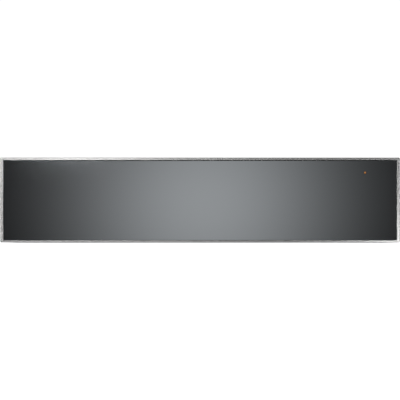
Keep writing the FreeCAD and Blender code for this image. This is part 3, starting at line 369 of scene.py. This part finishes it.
# Each screw came to rest at a turn of its own.
top_places = [((side * top_across, y, top_level - top_sunk), (0, 0, 0.4 * k + side))
              for k, y in enumerate(top_along) for side in (-1, 1)]
top_screw = cross_screw("top_screw", head_radius=0.0031, head_high=0.00095, seat_radius=0.0022,
                        shank_radius=0.0018, shank_long=0.0048)
top_screws = set_out(top_screw, "top_screws", top_places)
top_screws.data.materials.append(plated)
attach(top_screws, "casing")
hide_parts("casing_screws")

# The collar that lies on the cabinet's front edge and the panel over the drawer are brushed
# stainless sheet, brushed across the appliance.

# Rolled grain: fine streaks along the way that the sheet was rolled or brushed. Grain is how many
# streaks a metre has along each axis.
rolled_grain, grain_in, grain_out = new_effect(
    "rolled_grain",
    {"Grain": ("Vector", (12.0, 900.0, 900.0)), "Depth": ("Float", 0.1)},
    {"Streak": "Float", "Normal": "Vector"})
grain_place = add(rolled_grain, "ShaderNodeTexCoord")
grain_stretch = add(rolled_grain, "ShaderNodeVectorMath", operation="MULTIPLY")
grain_noise = add(rolled_grain, "ShaderNodeTexNoise", {"Scale": 1.0, "Detail": 4.0, "Roughness": 0.6})
grain_bump = add(rolled_grain, "ShaderNodeBump", {"Distance": 0.0002})
join(rolled_grain, (grain_place, "Object"), (grain_stretch, 0))
join(rolled_grain, (grain_in, "Grain"), (grain_stretch, 1))
join(rolled_grain, (grain_stretch, "Vector"), (grain_noise, "Vector"))
join(rolled_grain, (grain_noise, "Fac"), (grain_bump, "Height"))
join(rolled_grain, (grain_in, "Depth"), (grain_bump, "Strength"))
join(rolled_grain, (grain_noise, "Fac"), (grain_out, "Streak"))
join(rolled_grain, (grain_bump, "Normal"), (grain_out, "Normal"))


def rolled_sheet(name, color, low, high, grain, depth, amount=0.12):
    """Bare sheet metal with its grain, its slight change of shade, and handling marks. Its roughness
    lies between low and high, and amount is how far its shade changes."""
    finish, tree, shader = new_finish(name, color, 1.0, low)
    streaks = use_effect(tree, rolled_grain, Grain=grain, Depth=depth)
    marks = use_effect(tree, handling_marks, Size=11.0, Low=low, High=high)
    shade = use_effect(tree, varied_shade, Color=(*color, 1), Amount=amount)
    join(tree, (streaks, "Streak"), (shade, "Mask"))
    join(tree, (shade, "Color"), (shader, "Base Color"))
    join(tree, (marks, "Roughness"), (shader, "Roughness"))
    join(tree, (streaks, "Normal"), (shader, "Normal"))
    return finish


brushed_across = rolled_sheet("brushed_across", (0.62, 0.61, 0.60),
                              low=0.27, high=0.36, grain=(9.0, 1500.0, 1500.0), depth=0.10)
dress(brushed_across, "casing_front_collar", "ceiling_panel", "control_panel")

# Rubber buffers on the rear panel keep the casing off the cabinet's back. They are pushed through
# holes in the sheet.

# Moulded grain: the fine pebbled texture that a spark-eroded mould leaves on plastic and rubber.
moulded_grain, mould_in, mould_out = new_effect(
    "moulded_grain",
    {"Size": ("Float", 2500.0), "Depth": ("Float", 0.2)},
    {"Pebble": "Float", "Normal": "Vector"})
mould_place = add(moulded_grain, "ShaderNodeTexCoord")
mould_noise = add(moulded_grain, "ShaderNodeTexNoise", {"Detail": 3.0, "Roughness": 0.55})
mould_bump = add(moulded_grain, "ShaderNodeBump", {"Distance": 0.0001})
join(moulded_grain, (mould_place, "Object"), (mould_noise, "Vector"))
join(moulded_grain, (mould_in, "Size"), (mould_noise, "Scale"))
join(moulded_grain, (mould_noise, "Fac"), (mould_bump, "Height"))
join(moulded_grain, (mould_in, "Depth"), (mould_bump, "Strength"))
join(moulded_grain, (mould_noise, "Fac"), (mould_out, "Pebble"))
join(moulded_grain, (mould_bump, "Normal"), (mould_out, "Normal"))


def moulded(name, color, low, high, size, depth, amount=0.2):
    """A moulded part with its pebbled skin and slightly uneven shine, its roughness between low and
    high. Size is how many pebbles a metre has, and amount is how far its shade changes."""
    finish, tree, shader = new_finish(name, color, 0.0, low)
    skin = use_effect(tree, moulded_grain, Size=size, Depth=depth)
    marks = use_effect(tree, handling_marks, Size=60.0, Low=low, High=high)
    shade = use_effect(tree, varied_shade, Color=(*color, 1), Amount=amount)
    join(tree, (skin, "Pebble"), (shade, "Mask"))
    join(tree, (shade, "Color"), (shader, "Base Color"))
    join(tree, (marks, "Roughness"), (shader, "Roughness"))
    join(tree, (skin, "Normal"), (shader, "Normal"))
    return finish


black_rubber = moulded("black_rubber", (0.022, 0.022, 0.023), low=0.55, high=0.75, size=1400.0, depth=0.25)
dress(black_rubber, "rear_spacers")

# The mains lead's terminal block is white ceramic-filled plastic with three wire ways. The gland
# beside it is black nylon, screwed through the rear panel with a lock nut.
white_plastic = moulded("white_plastic", (0.72, 0.71, 0.66),
                        low=0.4, high=0.55, size=2200.0, depth=0.15, amount=0.08)
black_nylon = moulded("black_nylon", (0.018, 0.018, 0.020), low=0.34, high=0.5, size=2600.0, depth=0.2)
dress(white_plastic, "terminal_block")
dress(black_nylon, "cable_gland")

# The telescopic rails are roll-formed steel, zinc plated after forming, with the grease that the
# balls have spread along their races.


def two_tones(tree, low, low_color, high, high_color):
    """A ramp that turns a value into a colour, from one at low to another at high."""
    ramp = add(tree, "ShaderNodeValToRGB")
    for stop, value, color in zip(ramp.color_ramp.elements, (low, high), (low_color, high_color)):
        stop.position = value
        stop.color = (*color, 1)
    return ramp


rail_plate, tree, shader = new_finish("rail_plate", (0.70, 0.71, 0.73), 1.0, 0.25)
rail_streaks = use_effect(tree, rolled_grain, Grain=(1400.0, 7.0, 1400.0), Depth=0.08)
rail_marks = use_effect(tree, handling_marks, Size=30.0, Low=0.2, High=0.36)
rail_tone = two_tones(tree, 0.35, (0.60, 0.63, 0.69), 0.68, (0.74, 0.72, 0.67))
rail_shade = use_effect(tree, varied_shade, Amount=0.14)
join(tree, (rail_marks, "Patch"), (rail_tone, "Fac"))
join(tree, (rail_tone, "Color"), (rail_shade, "Color"))
join(tree, (rail_streaks, "Streak"), (rail_shade, "Mask"))
join(tree, (rail_shade, "Color"), (shader, "Base Color"))
join(tree, (rail_marks, "Roughness"), (shader, "Roughness"))
join(tree, (rail_streaks, "Normal"), (shader, "Normal"))
dress(rail_plate, "outer_rail_left", "outer_rail_right", "mid_rail_left", "mid_rail_right",
      "inner_rail_left", "inner_rail_right")

# Each cage is a bent strip of plain steel that keeps its balls apart. The balls are hardened and
# polished.
cage_strip = rolled_sheet("cage_strip", (0.44, 0.45, 0.47),
                          low=0.3, high=0.42, grain=(1600.0, 12.0, 1600.0), depth=0.1)
dress(cage_strip, "outer_cage_left", "outer_cage_right", "inner_cage_left", "inner_cage_right")
ball_steel, tree, shader = new_finish("ball_steel", (0.78, 0.78, 0.80), 1.0, 0.08)
ball_marks = use_effect(tree, handling_marks, Size=900.0, Low=0.04, High=0.12)
join(tree, (ball_marks, "Roughness"), (shader, "Roughness"))
dress(ball_steel, "outer_balls_left", "outer_balls_right", "inner_balls_left", "inner_balls_right")

# Flat rivets hold the casing members. Screws with cross recesses hold the drawer members, and are
# reached through slots in the middle members.
dress(plated, "rail_rivets", "front_screws")
rail_seat, rail_head, rail_level = 0.2651, 0.002, 0.055
# The last angle leans each screw to the side, by a little over 5 degrees.
rail_places = [((side * (rail_seat + rail_head), y, rail_level), (0, side * math.radians(90), 0.5 * y))
               for y in (-0.19, 0.19) for side in (-1, 1)]
rail_screw = cross_screw("rail_screw", head_radius=0.0034, head_high=rail_head, seat_radius=0.0034,
                         shank_radius=0.0018, shank_long=0.0049)
rail_screws = set_out(rail_screw, "rail_screws_dressed", rail_places)
rail_screws.data.materials.append(plated)
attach(rail_screws, "drawer")
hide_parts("rail_screws")

# The push latch on the casing's right side: a black nylon housing, a grey plunger and its spring,
# and on the drawer the plated tab that works it.
grey_plastic = moulded("grey_plastic", (0.30, 0.31, 0.32), low=0.3, high=0.42, size=2600.0, depth=0.12)
spring_wire = rolled_sheet("spring_wire", (0.42, 0.43, 0.45),
                           low=0.22, high=0.34, grain=(1200.0, 1200.0, 1200.0), depth=0.05)
dress(black_nylon, "latch_housing")
dress(grey_plastic, "latch_plunger")
dress(spring_wire, "latch_spring")
dress(rail_plate, "latch_striker")

# The drawer's shell hangs on the rails: two folded sides, a rear panel and a bottom cover, all of the
# casing's galvanised sheet.
dress(galvanised, "drawer_side_left", "drawer_side_right", "drawer_rear_panel", "drawer_bottom_cover")

# The tub is drawn from stainless sheet, with a rim that covers the shell. The rim is brushed from
# side to side, and the walls level all round.
tub_grey, rim_starts = (0.66, 0.65, 0.64), 0.1079
tub_steel, tree, shader = new_finish("tub_steel", tub_grey, 1.0, 0.29)
tub_place = add(tree, "ShaderNodeTexCoord")
tub_parts = add(tree, "ShaderNodeSeparateXYZ")
on_rim = add(tree, "ShaderNodeMath", {1: rim_starts}, operation="GREATER_THAN")
along_rim = use_effect(tree, rolled_grain, Grain=(7.0, 1300.0, 1300.0), Depth=0.06)
round_walls = use_effect(tree, rolled_grain, Grain=(6.0, 6.0, 1300.0), Depth=0.05)
tub_grain = add(tree, "ShaderNodeMix", data_type="VECTOR")
tub_streak = add(tree, "ShaderNodeMix", data_type="FLOAT")
tub_shade = use_effect(tree, varied_shade, Color=(*tub_grey, 1), Amount=0.12)
tub_marks = use_effect(tree, handling_marks, Size=5.0, Low=0.27, High=0.31)
join(tree, (tub_place, "Object"), (tub_parts, "Vector"))
join(tree, (tub_parts, "Z"), (on_rim, 0))
join(tree, (on_rim, "Value"), (tub_grain, "Factor"))
join(tree, (round_walls, "Normal"), (tub_grain, "A"))
join(tree, (along_rim, "Normal"), (tub_grain, "B"))
join(tree, (on_rim, "Value"), (tub_streak, "Factor"))
join(tree, (round_walls, "Streak"), (tub_streak, "A"))
join(tree, (along_rim, "Streak"), (tub_streak, "B"))
join(tree, (tub_streak, "Result"), (tub_shade, "Mask"))
join(tree, (tub_shade, "Color"), (shader, "Base Color"))
join(tree, (tub_marks, "Roughness"), (shader, "Roughness"))
join(tree, (tub_grain, "Result"), (shader, "Normal"))
dress(tub_steel, "drawer_tub")

# The heated floor is black toughened glass on a silicone seal, with a fine light line printed under
# its edge.


def past_half(tree, place, middle, half):
    """How far a point lies past a box's half size along each axis, below 0 where it is inside."""
    centred = add(tree, "ShaderNodeVectorMath", {1: middle}, operation="SUBTRACT")
    away = add(tree, "ShaderNodeVectorMath", operation="ABSOLUTE")
    past = add(tree, "ShaderNodeVectorMath", {1: half}, operation="SUBTRACT")
    join(tree, (place, "Object"), (centred, 0))
    join(tree, (centred, "Vector"), (away, 0))
    join(tree, (away, "Vector"), (past, 0))
    return past


dress(black_rubber, "floor_seal")
floor_black, line_grey = (0.012, 0.012, 0.014), (0.30, 0.31, 0.32)
floor_middle, line_corners = (0.0, -0.007, 0.0), (0.206, 0.177, 0.0)
line_radius, line_half_width = 0.0120, 0.0006
floor_glass, tree, shader = new_finish("floor_glass", floor_black, 0.0, 0.06)
shader.inputs["Coat Weight"].default_value = 0.5
shader.inputs["Coat Roughness"].default_value = 0.03
glass_marks = use_effect(tree, handling_marks, Size=14.0, Low=0.04, High=0.13)
glass_place = add(tree, "ShaderNodeTexCoord")
glass_past = past_half(tree, glass_place, floor_middle, line_corners)
glass_clear = add(tree, "ShaderNodeVectorMath", {1: (0.0, 0.0, 0.0)}, operation="MAXIMUM")
glass_flat = add(tree, "ShaderNodeVectorMath", {1: (1.0, 1.0, 0.0)}, operation="MULTIPLY")
glass_reach = add(tree, "ShaderNodeVectorMath", operation="LENGTH")
line_in = add(tree, "ShaderNodeMath", {1: line_radius, 2: line_half_width}, operation="COMPARE")
line_ink = add(tree, "ShaderNodeMix", {"A": (*floor_black, 1), "B": (*line_grey, 1)}, data_type="RGBA")
join(tree, (glass_past, "Vector"), (glass_clear, 0))
join(tree, (glass_clear, "Vector"), (glass_flat, 0))
join(tree, (glass_flat, "Vector"), (glass_reach, 0))
join(tree, (glass_reach, "Value"), (line_in, 0))
join(tree, (line_in, "Value"), (line_ink, "Factor"))
join(tree, (line_ink, "Result"), (shader, "Base Color"))
join(tree, (glass_marks, "Roughness"), (shader, "Roughness"))
dress(floor_glass, "glass_floor")

# Under the tub lie an aluminium plate that spreads the heat, an amber film band with its etched
# heating track, a mineral fibre mat, and the cut-out that guards against overheating.
spreader = rolled_sheet("rolled_aluminium", (0.74, 0.75, 0.76),
                        low=0.3, high=0.42, grain=(10.0, 900.0, 900.0), depth=0.1)
dress(spreader, "heater_plate", "fan_wheel")
heating_film, tree, shader = new_finish("heating_film", (0.42, 0.20, 0.05), 0.0, 0.35)
film_place = add(tree, "ShaderNodeTexCoord")
film_wave = add(tree, "ShaderNodeTexWave", {"Scale": 160.0, "Distortion": 0.0}, bands_direction="Y")
film_tone = two_tones(tree, 0.45, (0.46, 0.22, 0.05), 0.55, (0.16, 0.13, 0.11))
join(tree, (film_place, "Object"), (film_wave, "Vector"))
join(tree, (film_wave, "Fac"), (film_tone, "Fac"))
join(tree, (film_tone, "Color"), (shader, "Base Color"))
dress(heating_film, "heating_band")
mineral_mat = moulded("mineral_mat", (0.66, 0.63, 0.52),
                      low=0.9, high=1.0, size=500.0, depth=1.0, amount=0.35)
dress(mineral_mat, "insulation_mat")
dress(grey_plastic, "thermal_cutout")

# The circulating-air unit stands behind the tub's rear wall: a slotted stainless grille, the
# galvanised housing, the aluminium wheel, the heat-tinted ring element and the motor.
dress(tub_steel, "fan_grille")
dress(galvanised, "fan_housing")
motor_steel = rolled_sheet("motor_steel", (0.50, 0.50, 0.52),
                           low=0.3, high=0.45, grain=(900.0, 900.0, 900.0), depth=0.08)
dress(motor_steel, "fan_motor", "motor_shaft", "switch_spindle")
element_steel, tree, shader = new_finish("tinted_element", (0.30, 0.27, 0.25), 1.0, 0.4)
element_marks = use_effect(tree, handling_marks, Size=45.0, Low=0.3, High=0.5)
element_tone = two_tones(tree, 0.35, (0.16, 0.17, 0.24), 0.65, (0.38, 0.29, 0.20))
join(tree, (element_marks, "Patch"), (element_tone, "Fac"))
join(tree, (element_tone, "Color"), (shader, "Base Color"))
join(tree, (element_marks, "Roughness"), (shader, "Roughness"))
dress(element_steel, "air_heater")

# The temperature selector sits in a recess of the rim: a fluted soft-touch knob on the switch's
# flatted spindle.
soft_touch = moulded("soft_touch_black", (0.020, 0.020, 0.022), low=0.45, high=0.6, size=3200.0, depth=0.18)
dress(soft_touch, "control_knob")
dress(black_nylon, "selector_switch")

# The knob's five settings are printed round it on the recess's floor, 0 where it rests and 4 after
# half a turn.
ink, tree, shader = new_finish("dial_ink", (0.05, 0.05, 0.055), 0.0, 0.5)
ink_skin = use_effect(tree, moulded_grain, Size=4000.0, Depth=0.1)
join(tree, (ink_skin, "Normal"), (shader, "Normal"))
knob_middle, recess_floor = Vector((0.205, -0.232, 0.0)), 0.099
figure_reach, rear_reach = 0.0135, 0.0125
figure_size, figure_ink, figure_gap = 0.0036, 0.00003, 0.00001
numerals = []
for setting in range(5):
    turn = math.radians(180 - 45 * setting)
    reach = rear_reach if setting == 2 else figure_reach
    deselect_all()
    bpy.ops.object.text_add(location=knob_middle + Vector((math.cos(turn), math.sin(turn), 0)) * reach)
    numeral = bpy.context.object
    numeral.data.body = str(setting)
    numeral.data.size = figure_size
    numeral.data.align_x = "CENTER"
    numeral.data.align_y = "CENTER"
    numeral.data.extrude = figure_ink
    numeral.location.z = recess_floor + figure_ink + figure_gap
    bpy.ops.object.convert(target="MESH")
    numerals.append(bpy.context.object)
deselect_all()
for numeral in numerals:
    numeral.select_set(True)
bpy.context.view_layer.objects.active = numerals[0]
bpy.ops.object.join()
scale_print = bpy.context.object
bpy.ops.object.transform_apply(location=True, rotation=True, scale=True)
scale_print.name = "scale_print"
scale_print.data.materials.clear()
scale_print.data.materials.append(ink)
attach(scale_print, "drawer")

# The loom is a bundle of wires in a woven black fibreglass sleeve. It runs from the selector switch
# along the drawer's right side to the fan unit.
sleeve, tree, shader = new_finish("woven_sleeve", (0.03, 0.03, 0.03), 0.0, 0.7)
sleeve_place = add(tree, "ShaderNodeTexCoord")
sleeve_weave = add(tree, "ShaderNodeTexChecker",
                   {"Color1": (0.02, 0.02, 0.02, 1), "Color2": (0.05, 0.05, 0.048, 1), "Scale": 900.0})
sleeve_bump = add(tree, "ShaderNodeBump", {"Strength": 0.4, "Distance": 0.0002})
join(tree, (sleeve_place, "Object"), (sleeve_weave, "Vector"))
join(tree, (sleeve_weave, "Color"), (shader, "Base Color"))
join(tree, (sleeve_weave, "Fac"), (sleeve_bump, "Height"))
join(tree, (sleeve_bump, "Normal"), (shader, "Normal"))
dress(sleeve, "wiring_loom")

# The front frame is a stainless profile, mitred and welded at its corners, then brushed along each
# side, and polished finer on its face. A hairline shows at each mitre. The seat behind the lip, in
# the gap round the glass, is painted black and matte as painted shade.
edge_grey = (0.50, 0.50, 0.495)
frame_middle, frame_half = (0.0, 0.0, 0.0635), (0.295, 0.0, 0.0625)
seat_middle, seat_half = (0.0, -0.26715, 0.0629), (0.2907, 0.0026, 0.0595)
mitre_half_width, face_skin = 0.00006, 0.00003
edge_steel, tree, shader = new_finish("edge_steel", edge_grey, 1.0, 0.23)
edge_place = add(tree, "ShaderNodeTexCoord")
edge_past = past_half(tree, edge_place, frame_middle, frame_half)
edge_parts = add(tree, "ShaderNodeSeparateXYZ")
mitre_gap = add(tree, "ShaderNodeMath", operation="SUBTRACT")
on_upright = add(tree, "ShaderNodeMath", {1: 0.0}, operation="GREATER_THAN")
mitre_line = add(tree, "ShaderNodeMath", {1: 0.0, 2: mitre_half_width}, operation="COMPARE")
along_x = use_effect(tree, rolled_grain, Grain=(4.0, 1500.0, 1500.0))
along_z = use_effect(tree, rolled_grain, Grain=(1500.0, 1500.0, 4.0))
edge_grain = add(tree, "ShaderNodeMix", data_type="VECTOR")
edge_streak = add(tree, "ShaderNodeMix", data_type="FLOAT")
edge_shade = use_effect(tree, varied_shade, Color=(*edge_grey, 1))
edge_color = add(tree, "ShaderNodeMix", {"B": (0.10, 0.10, 0.10, 1)}, data_type="RGBA")
edge_marks = use_effect(tree, handling_marks, Size=12.0, Low=0.21, High=0.25)
join(tree, (edge_past, "Vector"), (edge_parts, "Vector"))
join(tree, (edge_parts, "X"), (mitre_gap, 0))
join(tree, (edge_parts, "Z"), (mitre_gap, 1))
join(tree, (mitre_gap, "Value"), (on_upright, 0))
join(tree, (mitre_gap, "Value"), (mitre_line, 0))
join(tree, (on_upright, "Value"), (edge_grain, "Factor"))
join(tree, (along_x, "Normal"), (edge_grain, "A"))
join(tree, (along_z, "Normal"), (edge_grain, "B"))
join(tree, (on_upright, "Value"), (edge_streak, "Factor"))
join(tree, (along_x, "Streak"), (edge_streak, "A"))
join(tree, (along_z, "Streak"), (edge_streak, "B"))
join(tree, (edge_streak, "Result"), (edge_shade, "Mask"))
join(tree, (edge_shade, "Color"), (edge_color, "A"))
join(tree, (mitre_line, "Value"), (edge_color, "Factor"))
# Painted shade: inside the seat behind the lip the frame is painted near-black and not metallic, for the
# shade in the gap round the glass.
seat_past = past_half(tree, edge_place, seat_middle, seat_half)
seat_parts = add(tree, "ShaderNodeSeparateXYZ")
seat_across = add(tree, "ShaderNodeMath", operation="MAXIMUM")
seat_reach = add(tree, "ShaderNodeMath", operation="MAXIMUM")
in_seat_shade = add(tree, "ShaderNodeMath", {1: 0.0}, operation="LESS_THAN")
seat_painted_shade = add(tree, "ShaderNodeMix", {"B": (0.012, 0.012, 0.013, 1)}, data_type="RGBA")
seat_metal = add(tree, "ShaderNodeMath", {0: 1.0}, operation="SUBTRACT")
join(tree, (seat_past, "Vector"), (seat_parts, "Vector"))
join(tree, (seat_parts, "X"), (seat_across, 0))
join(tree, (seat_parts, "Z"), (seat_across, 1))
join(tree, (seat_across, "Value"), (seat_reach, 0))
join(tree, (seat_parts, "Y"), (seat_reach, 1))
join(tree, (seat_reach, "Value"), (in_seat_shade, 0))
join(tree, (edge_color, "Result"), (seat_painted_shade, "A"))
join(tree, (in_seat_shade, "Value"), (seat_painted_shade, "Factor"))
join(tree, (in_seat_shade, "Value"), (seat_metal, 1))
join(tree, (seat_painted_shade, "Result"), (shader, "Base Color"))
join(tree, (seat_metal, "Value"), (shader, "Metallic"))
join(tree, (edge_grain, "Result"), (shader, "Normal"))
behind_lip = add(tree, "ShaderNodeSeparateXYZ")
off_face = add(tree, "ShaderNodeMath", {1: front_face + face_skin}, operation="GREATER_THAN")
duller_side = add(tree, "ShaderNodeMath", {1: 0.14}, operation="MULTIPLY_ADD")
deeper_side = add(tree, "ShaderNodeMath", {1: 0.025, 2: 0.006}, operation="MULTIPLY_ADD")
streaked_side = add(tree, "ShaderNodeMath", {1: 0.12, 2: 0.03}, operation="MULTIPLY_ADD")
join(tree, (edge_place, "Object"), (behind_lip, "Vector"))
join(tree, (behind_lip, "Y"), (off_face, 0))
for side_effect in (duller_side, deeper_side, streaked_side):
    join(tree, (off_face, "Value"), (side_effect, 0))
join(tree, (deeper_side, "Value"), (along_x, "Depth"))
join(tree, (deeper_side, "Value"), (along_z, "Depth"))
join(tree, (streaked_side, "Value"), (edge_shade, "Amount"))
join(tree, (edge_marks, "Roughness"), (duller_side, 2))
join(tree, (duller_side, "Value"), (shader, "Roughness"))
dress(edge_steel, "front_frame")

# The front glass is toughened, ground at its edge, and backed with a metallic grey lacquer whose
# flakes catch the light softly. Its edge is painted as a dark matte line, partly for the ground edge
# and partly as painted shade where the frame's lip shades the glass.
lacquer_grey = (0.285, 0.303, 0.317)
pane_middle, pane_half = (0.0, 0.0, 0.0626), (0.2902, 1.0, 0.0589)
front_glass, tree, shader = new_finish("lacquered_glass", lacquer_grey, 1.0, 0.05)
shader.inputs["Coat Weight"].default_value = 1.0
shader.inputs["Coat Roughness"].default_value = 0.02
shader.inputs["Coat IOR"].default_value = 1.5
flake_place = add(tree, "ShaderNodeTexCoord")
flake = add(tree, "ShaderNodeTexNoise", {"Scale": 6000.0, "Detail": 2.0})
flake_shade = use_effect(tree, varied_shade, Color=(*lacquer_grey, 1), Amount=0.12)
pane_past = past_half(tree, flake_place, pane_middle, pane_half)
pane_parts = add(tree, "ShaderNodeSeparateXYZ")
pane_reach = add(tree, "ShaderNodeMath", operation="MAXIMUM")
# Painted shade: the pane's outer half millimetre is painted near-black and not metallic, standing partly for
# the shade along the frame's lip.
ground_edge_and_shade = add(tree, "ShaderNodeMapRange", {"From Min": -0.0006, "From Max": -0.0004})
pane_color = add(tree, "ShaderNodeMix", {"B": (0.02, 0.022, 0.022, 1)}, data_type="RGBA")
pane_polish = add(tree, "ShaderNodeMath", {0: 1.0}, operation="SUBTRACT")
join(tree, (flake_place, "Object"), (flake, "Vector"))
join(tree, (flake, "Fac"), (flake_shade, "Mask"))
join(tree, (pane_past, "Vector"), (pane_parts, "Vector"))
join(tree, (pane_parts, "X"), (pane_reach, 0))
join(tree, (pane_parts, "Z"), (pane_reach, 1))
join(tree, (pane_reach, "Value"), (ground_edge_and_shade, "Value"))
join(tree, (flake_shade, "Color"), (pane_color, "A"))
join(tree, (ground_edge_and_shade, "Result"), (pane_color, "Factor"))
join(tree, (pane_color, "Result"), (shader, "Base Color"))
join(tree, (ground_edge_and_shade, "Result"), (pane_polish, 1))
join(tree, (pane_polish, "Value"), (shader, "Metallic"))
join(tree, (pane_polish, "Value"), (shader, "Coat Weight"))
dress(front_glass, "front_glass")

# Behind the glass: the foam tape that bonds it, the tray that closes the frame's back, and the
# small board that carries the light.
foam_tape = moulded("foam_tape", (0.03, 0.03, 0.03), low=0.85, high=0.95, size=900.0, depth=0.6)
dress(foam_tape, "glass_bond_tape")
dress(galvanised, "front_inner_panel")
board_green, tree, shader = new_finish("board_lacquer", (0.03, 0.16, 0.06), 0.0, 0.3)
board_place = add(tree, "ShaderNodeTexCoord")
board_tracks = add(tree, "ShaderNodeTexBrick",
                   {"Color1": (0.02, 0.12, 0.045, 1), "Color2": (0.03, 0.15, 0.06, 1),
                    "Mortar": (0.05, 0.24, 0.10, 1), "Scale": 260.0, "Mortar Size": 0.06})
join(tree, (board_place, "Object"), (board_tracks, "Vector"))
join(tree, (board_tracks, "Color"), (shader, "Base Color"))
dress(board_green, "indicator_board")

# The operating light is an amber light pipe whose end shows in the glass, glowing yellow in its
# middle and red at its rim. Its base colour carries the same ramp, a painted highlight in the middle.
lens_middle, lens_radius = (0.2434, 0.0, 0.1038), 0.0019
amber, tree, shader = new_finish("amber_lens", (0.9, 0.35, 0.03), 0.0, 0.15)
lens_place = add(tree, "ShaderNodeTexCoord")
lens_centre = add(tree, "ShaderNodeVectorMath", {1: lens_middle}, operation="SUBTRACT")
lens_flat = add(tree, "ShaderNodeVectorMath", {1: (1.0, 0.0, 1.0)}, operation="MULTIPLY")
lens_reach = add(tree, "ShaderNodeVectorMath", operation="LENGTH")
lens_range = add(tree, "ShaderNodeMapRange", {"From Min": 0.0, "From Max": lens_radius})
lens_glow_and_highlight = two_tones(tree, 0.0, (0.42, 0.27, 0.09), 1.0, (0.14, 0.02, 0.01))
lens_amber = lens_glow_and_highlight.color_ramp.elements.new(0.5)
lens_amber.color = (0.26, 0.10, 0.02, 1)
join(tree, (lens_place, "Object"), (lens_centre, 0))
join(tree, (lens_centre, "Vector"), (lens_flat, 0))
join(tree, (lens_flat, "Vector"), (lens_reach, 0))
join(tree, (lens_reach, "Value"), (lens_range, "Value"))
join(tree, (lens_range, "Result"), (lens_glow_and_highlight, "Fac"))
# Painted highlight: the base colour, too, is yellow in the middle and darker red at the rim, as when lit.
join(tree, (lens_glow_and_highlight, "Color"), (shader, "Base Color"))
join(tree, (lens_glow_and_highlight, "Color"), (shader, "Emission Color"))
shader.inputs["Emission Strength"].default_value = 0.12
dress(amber, "indicator_lens")
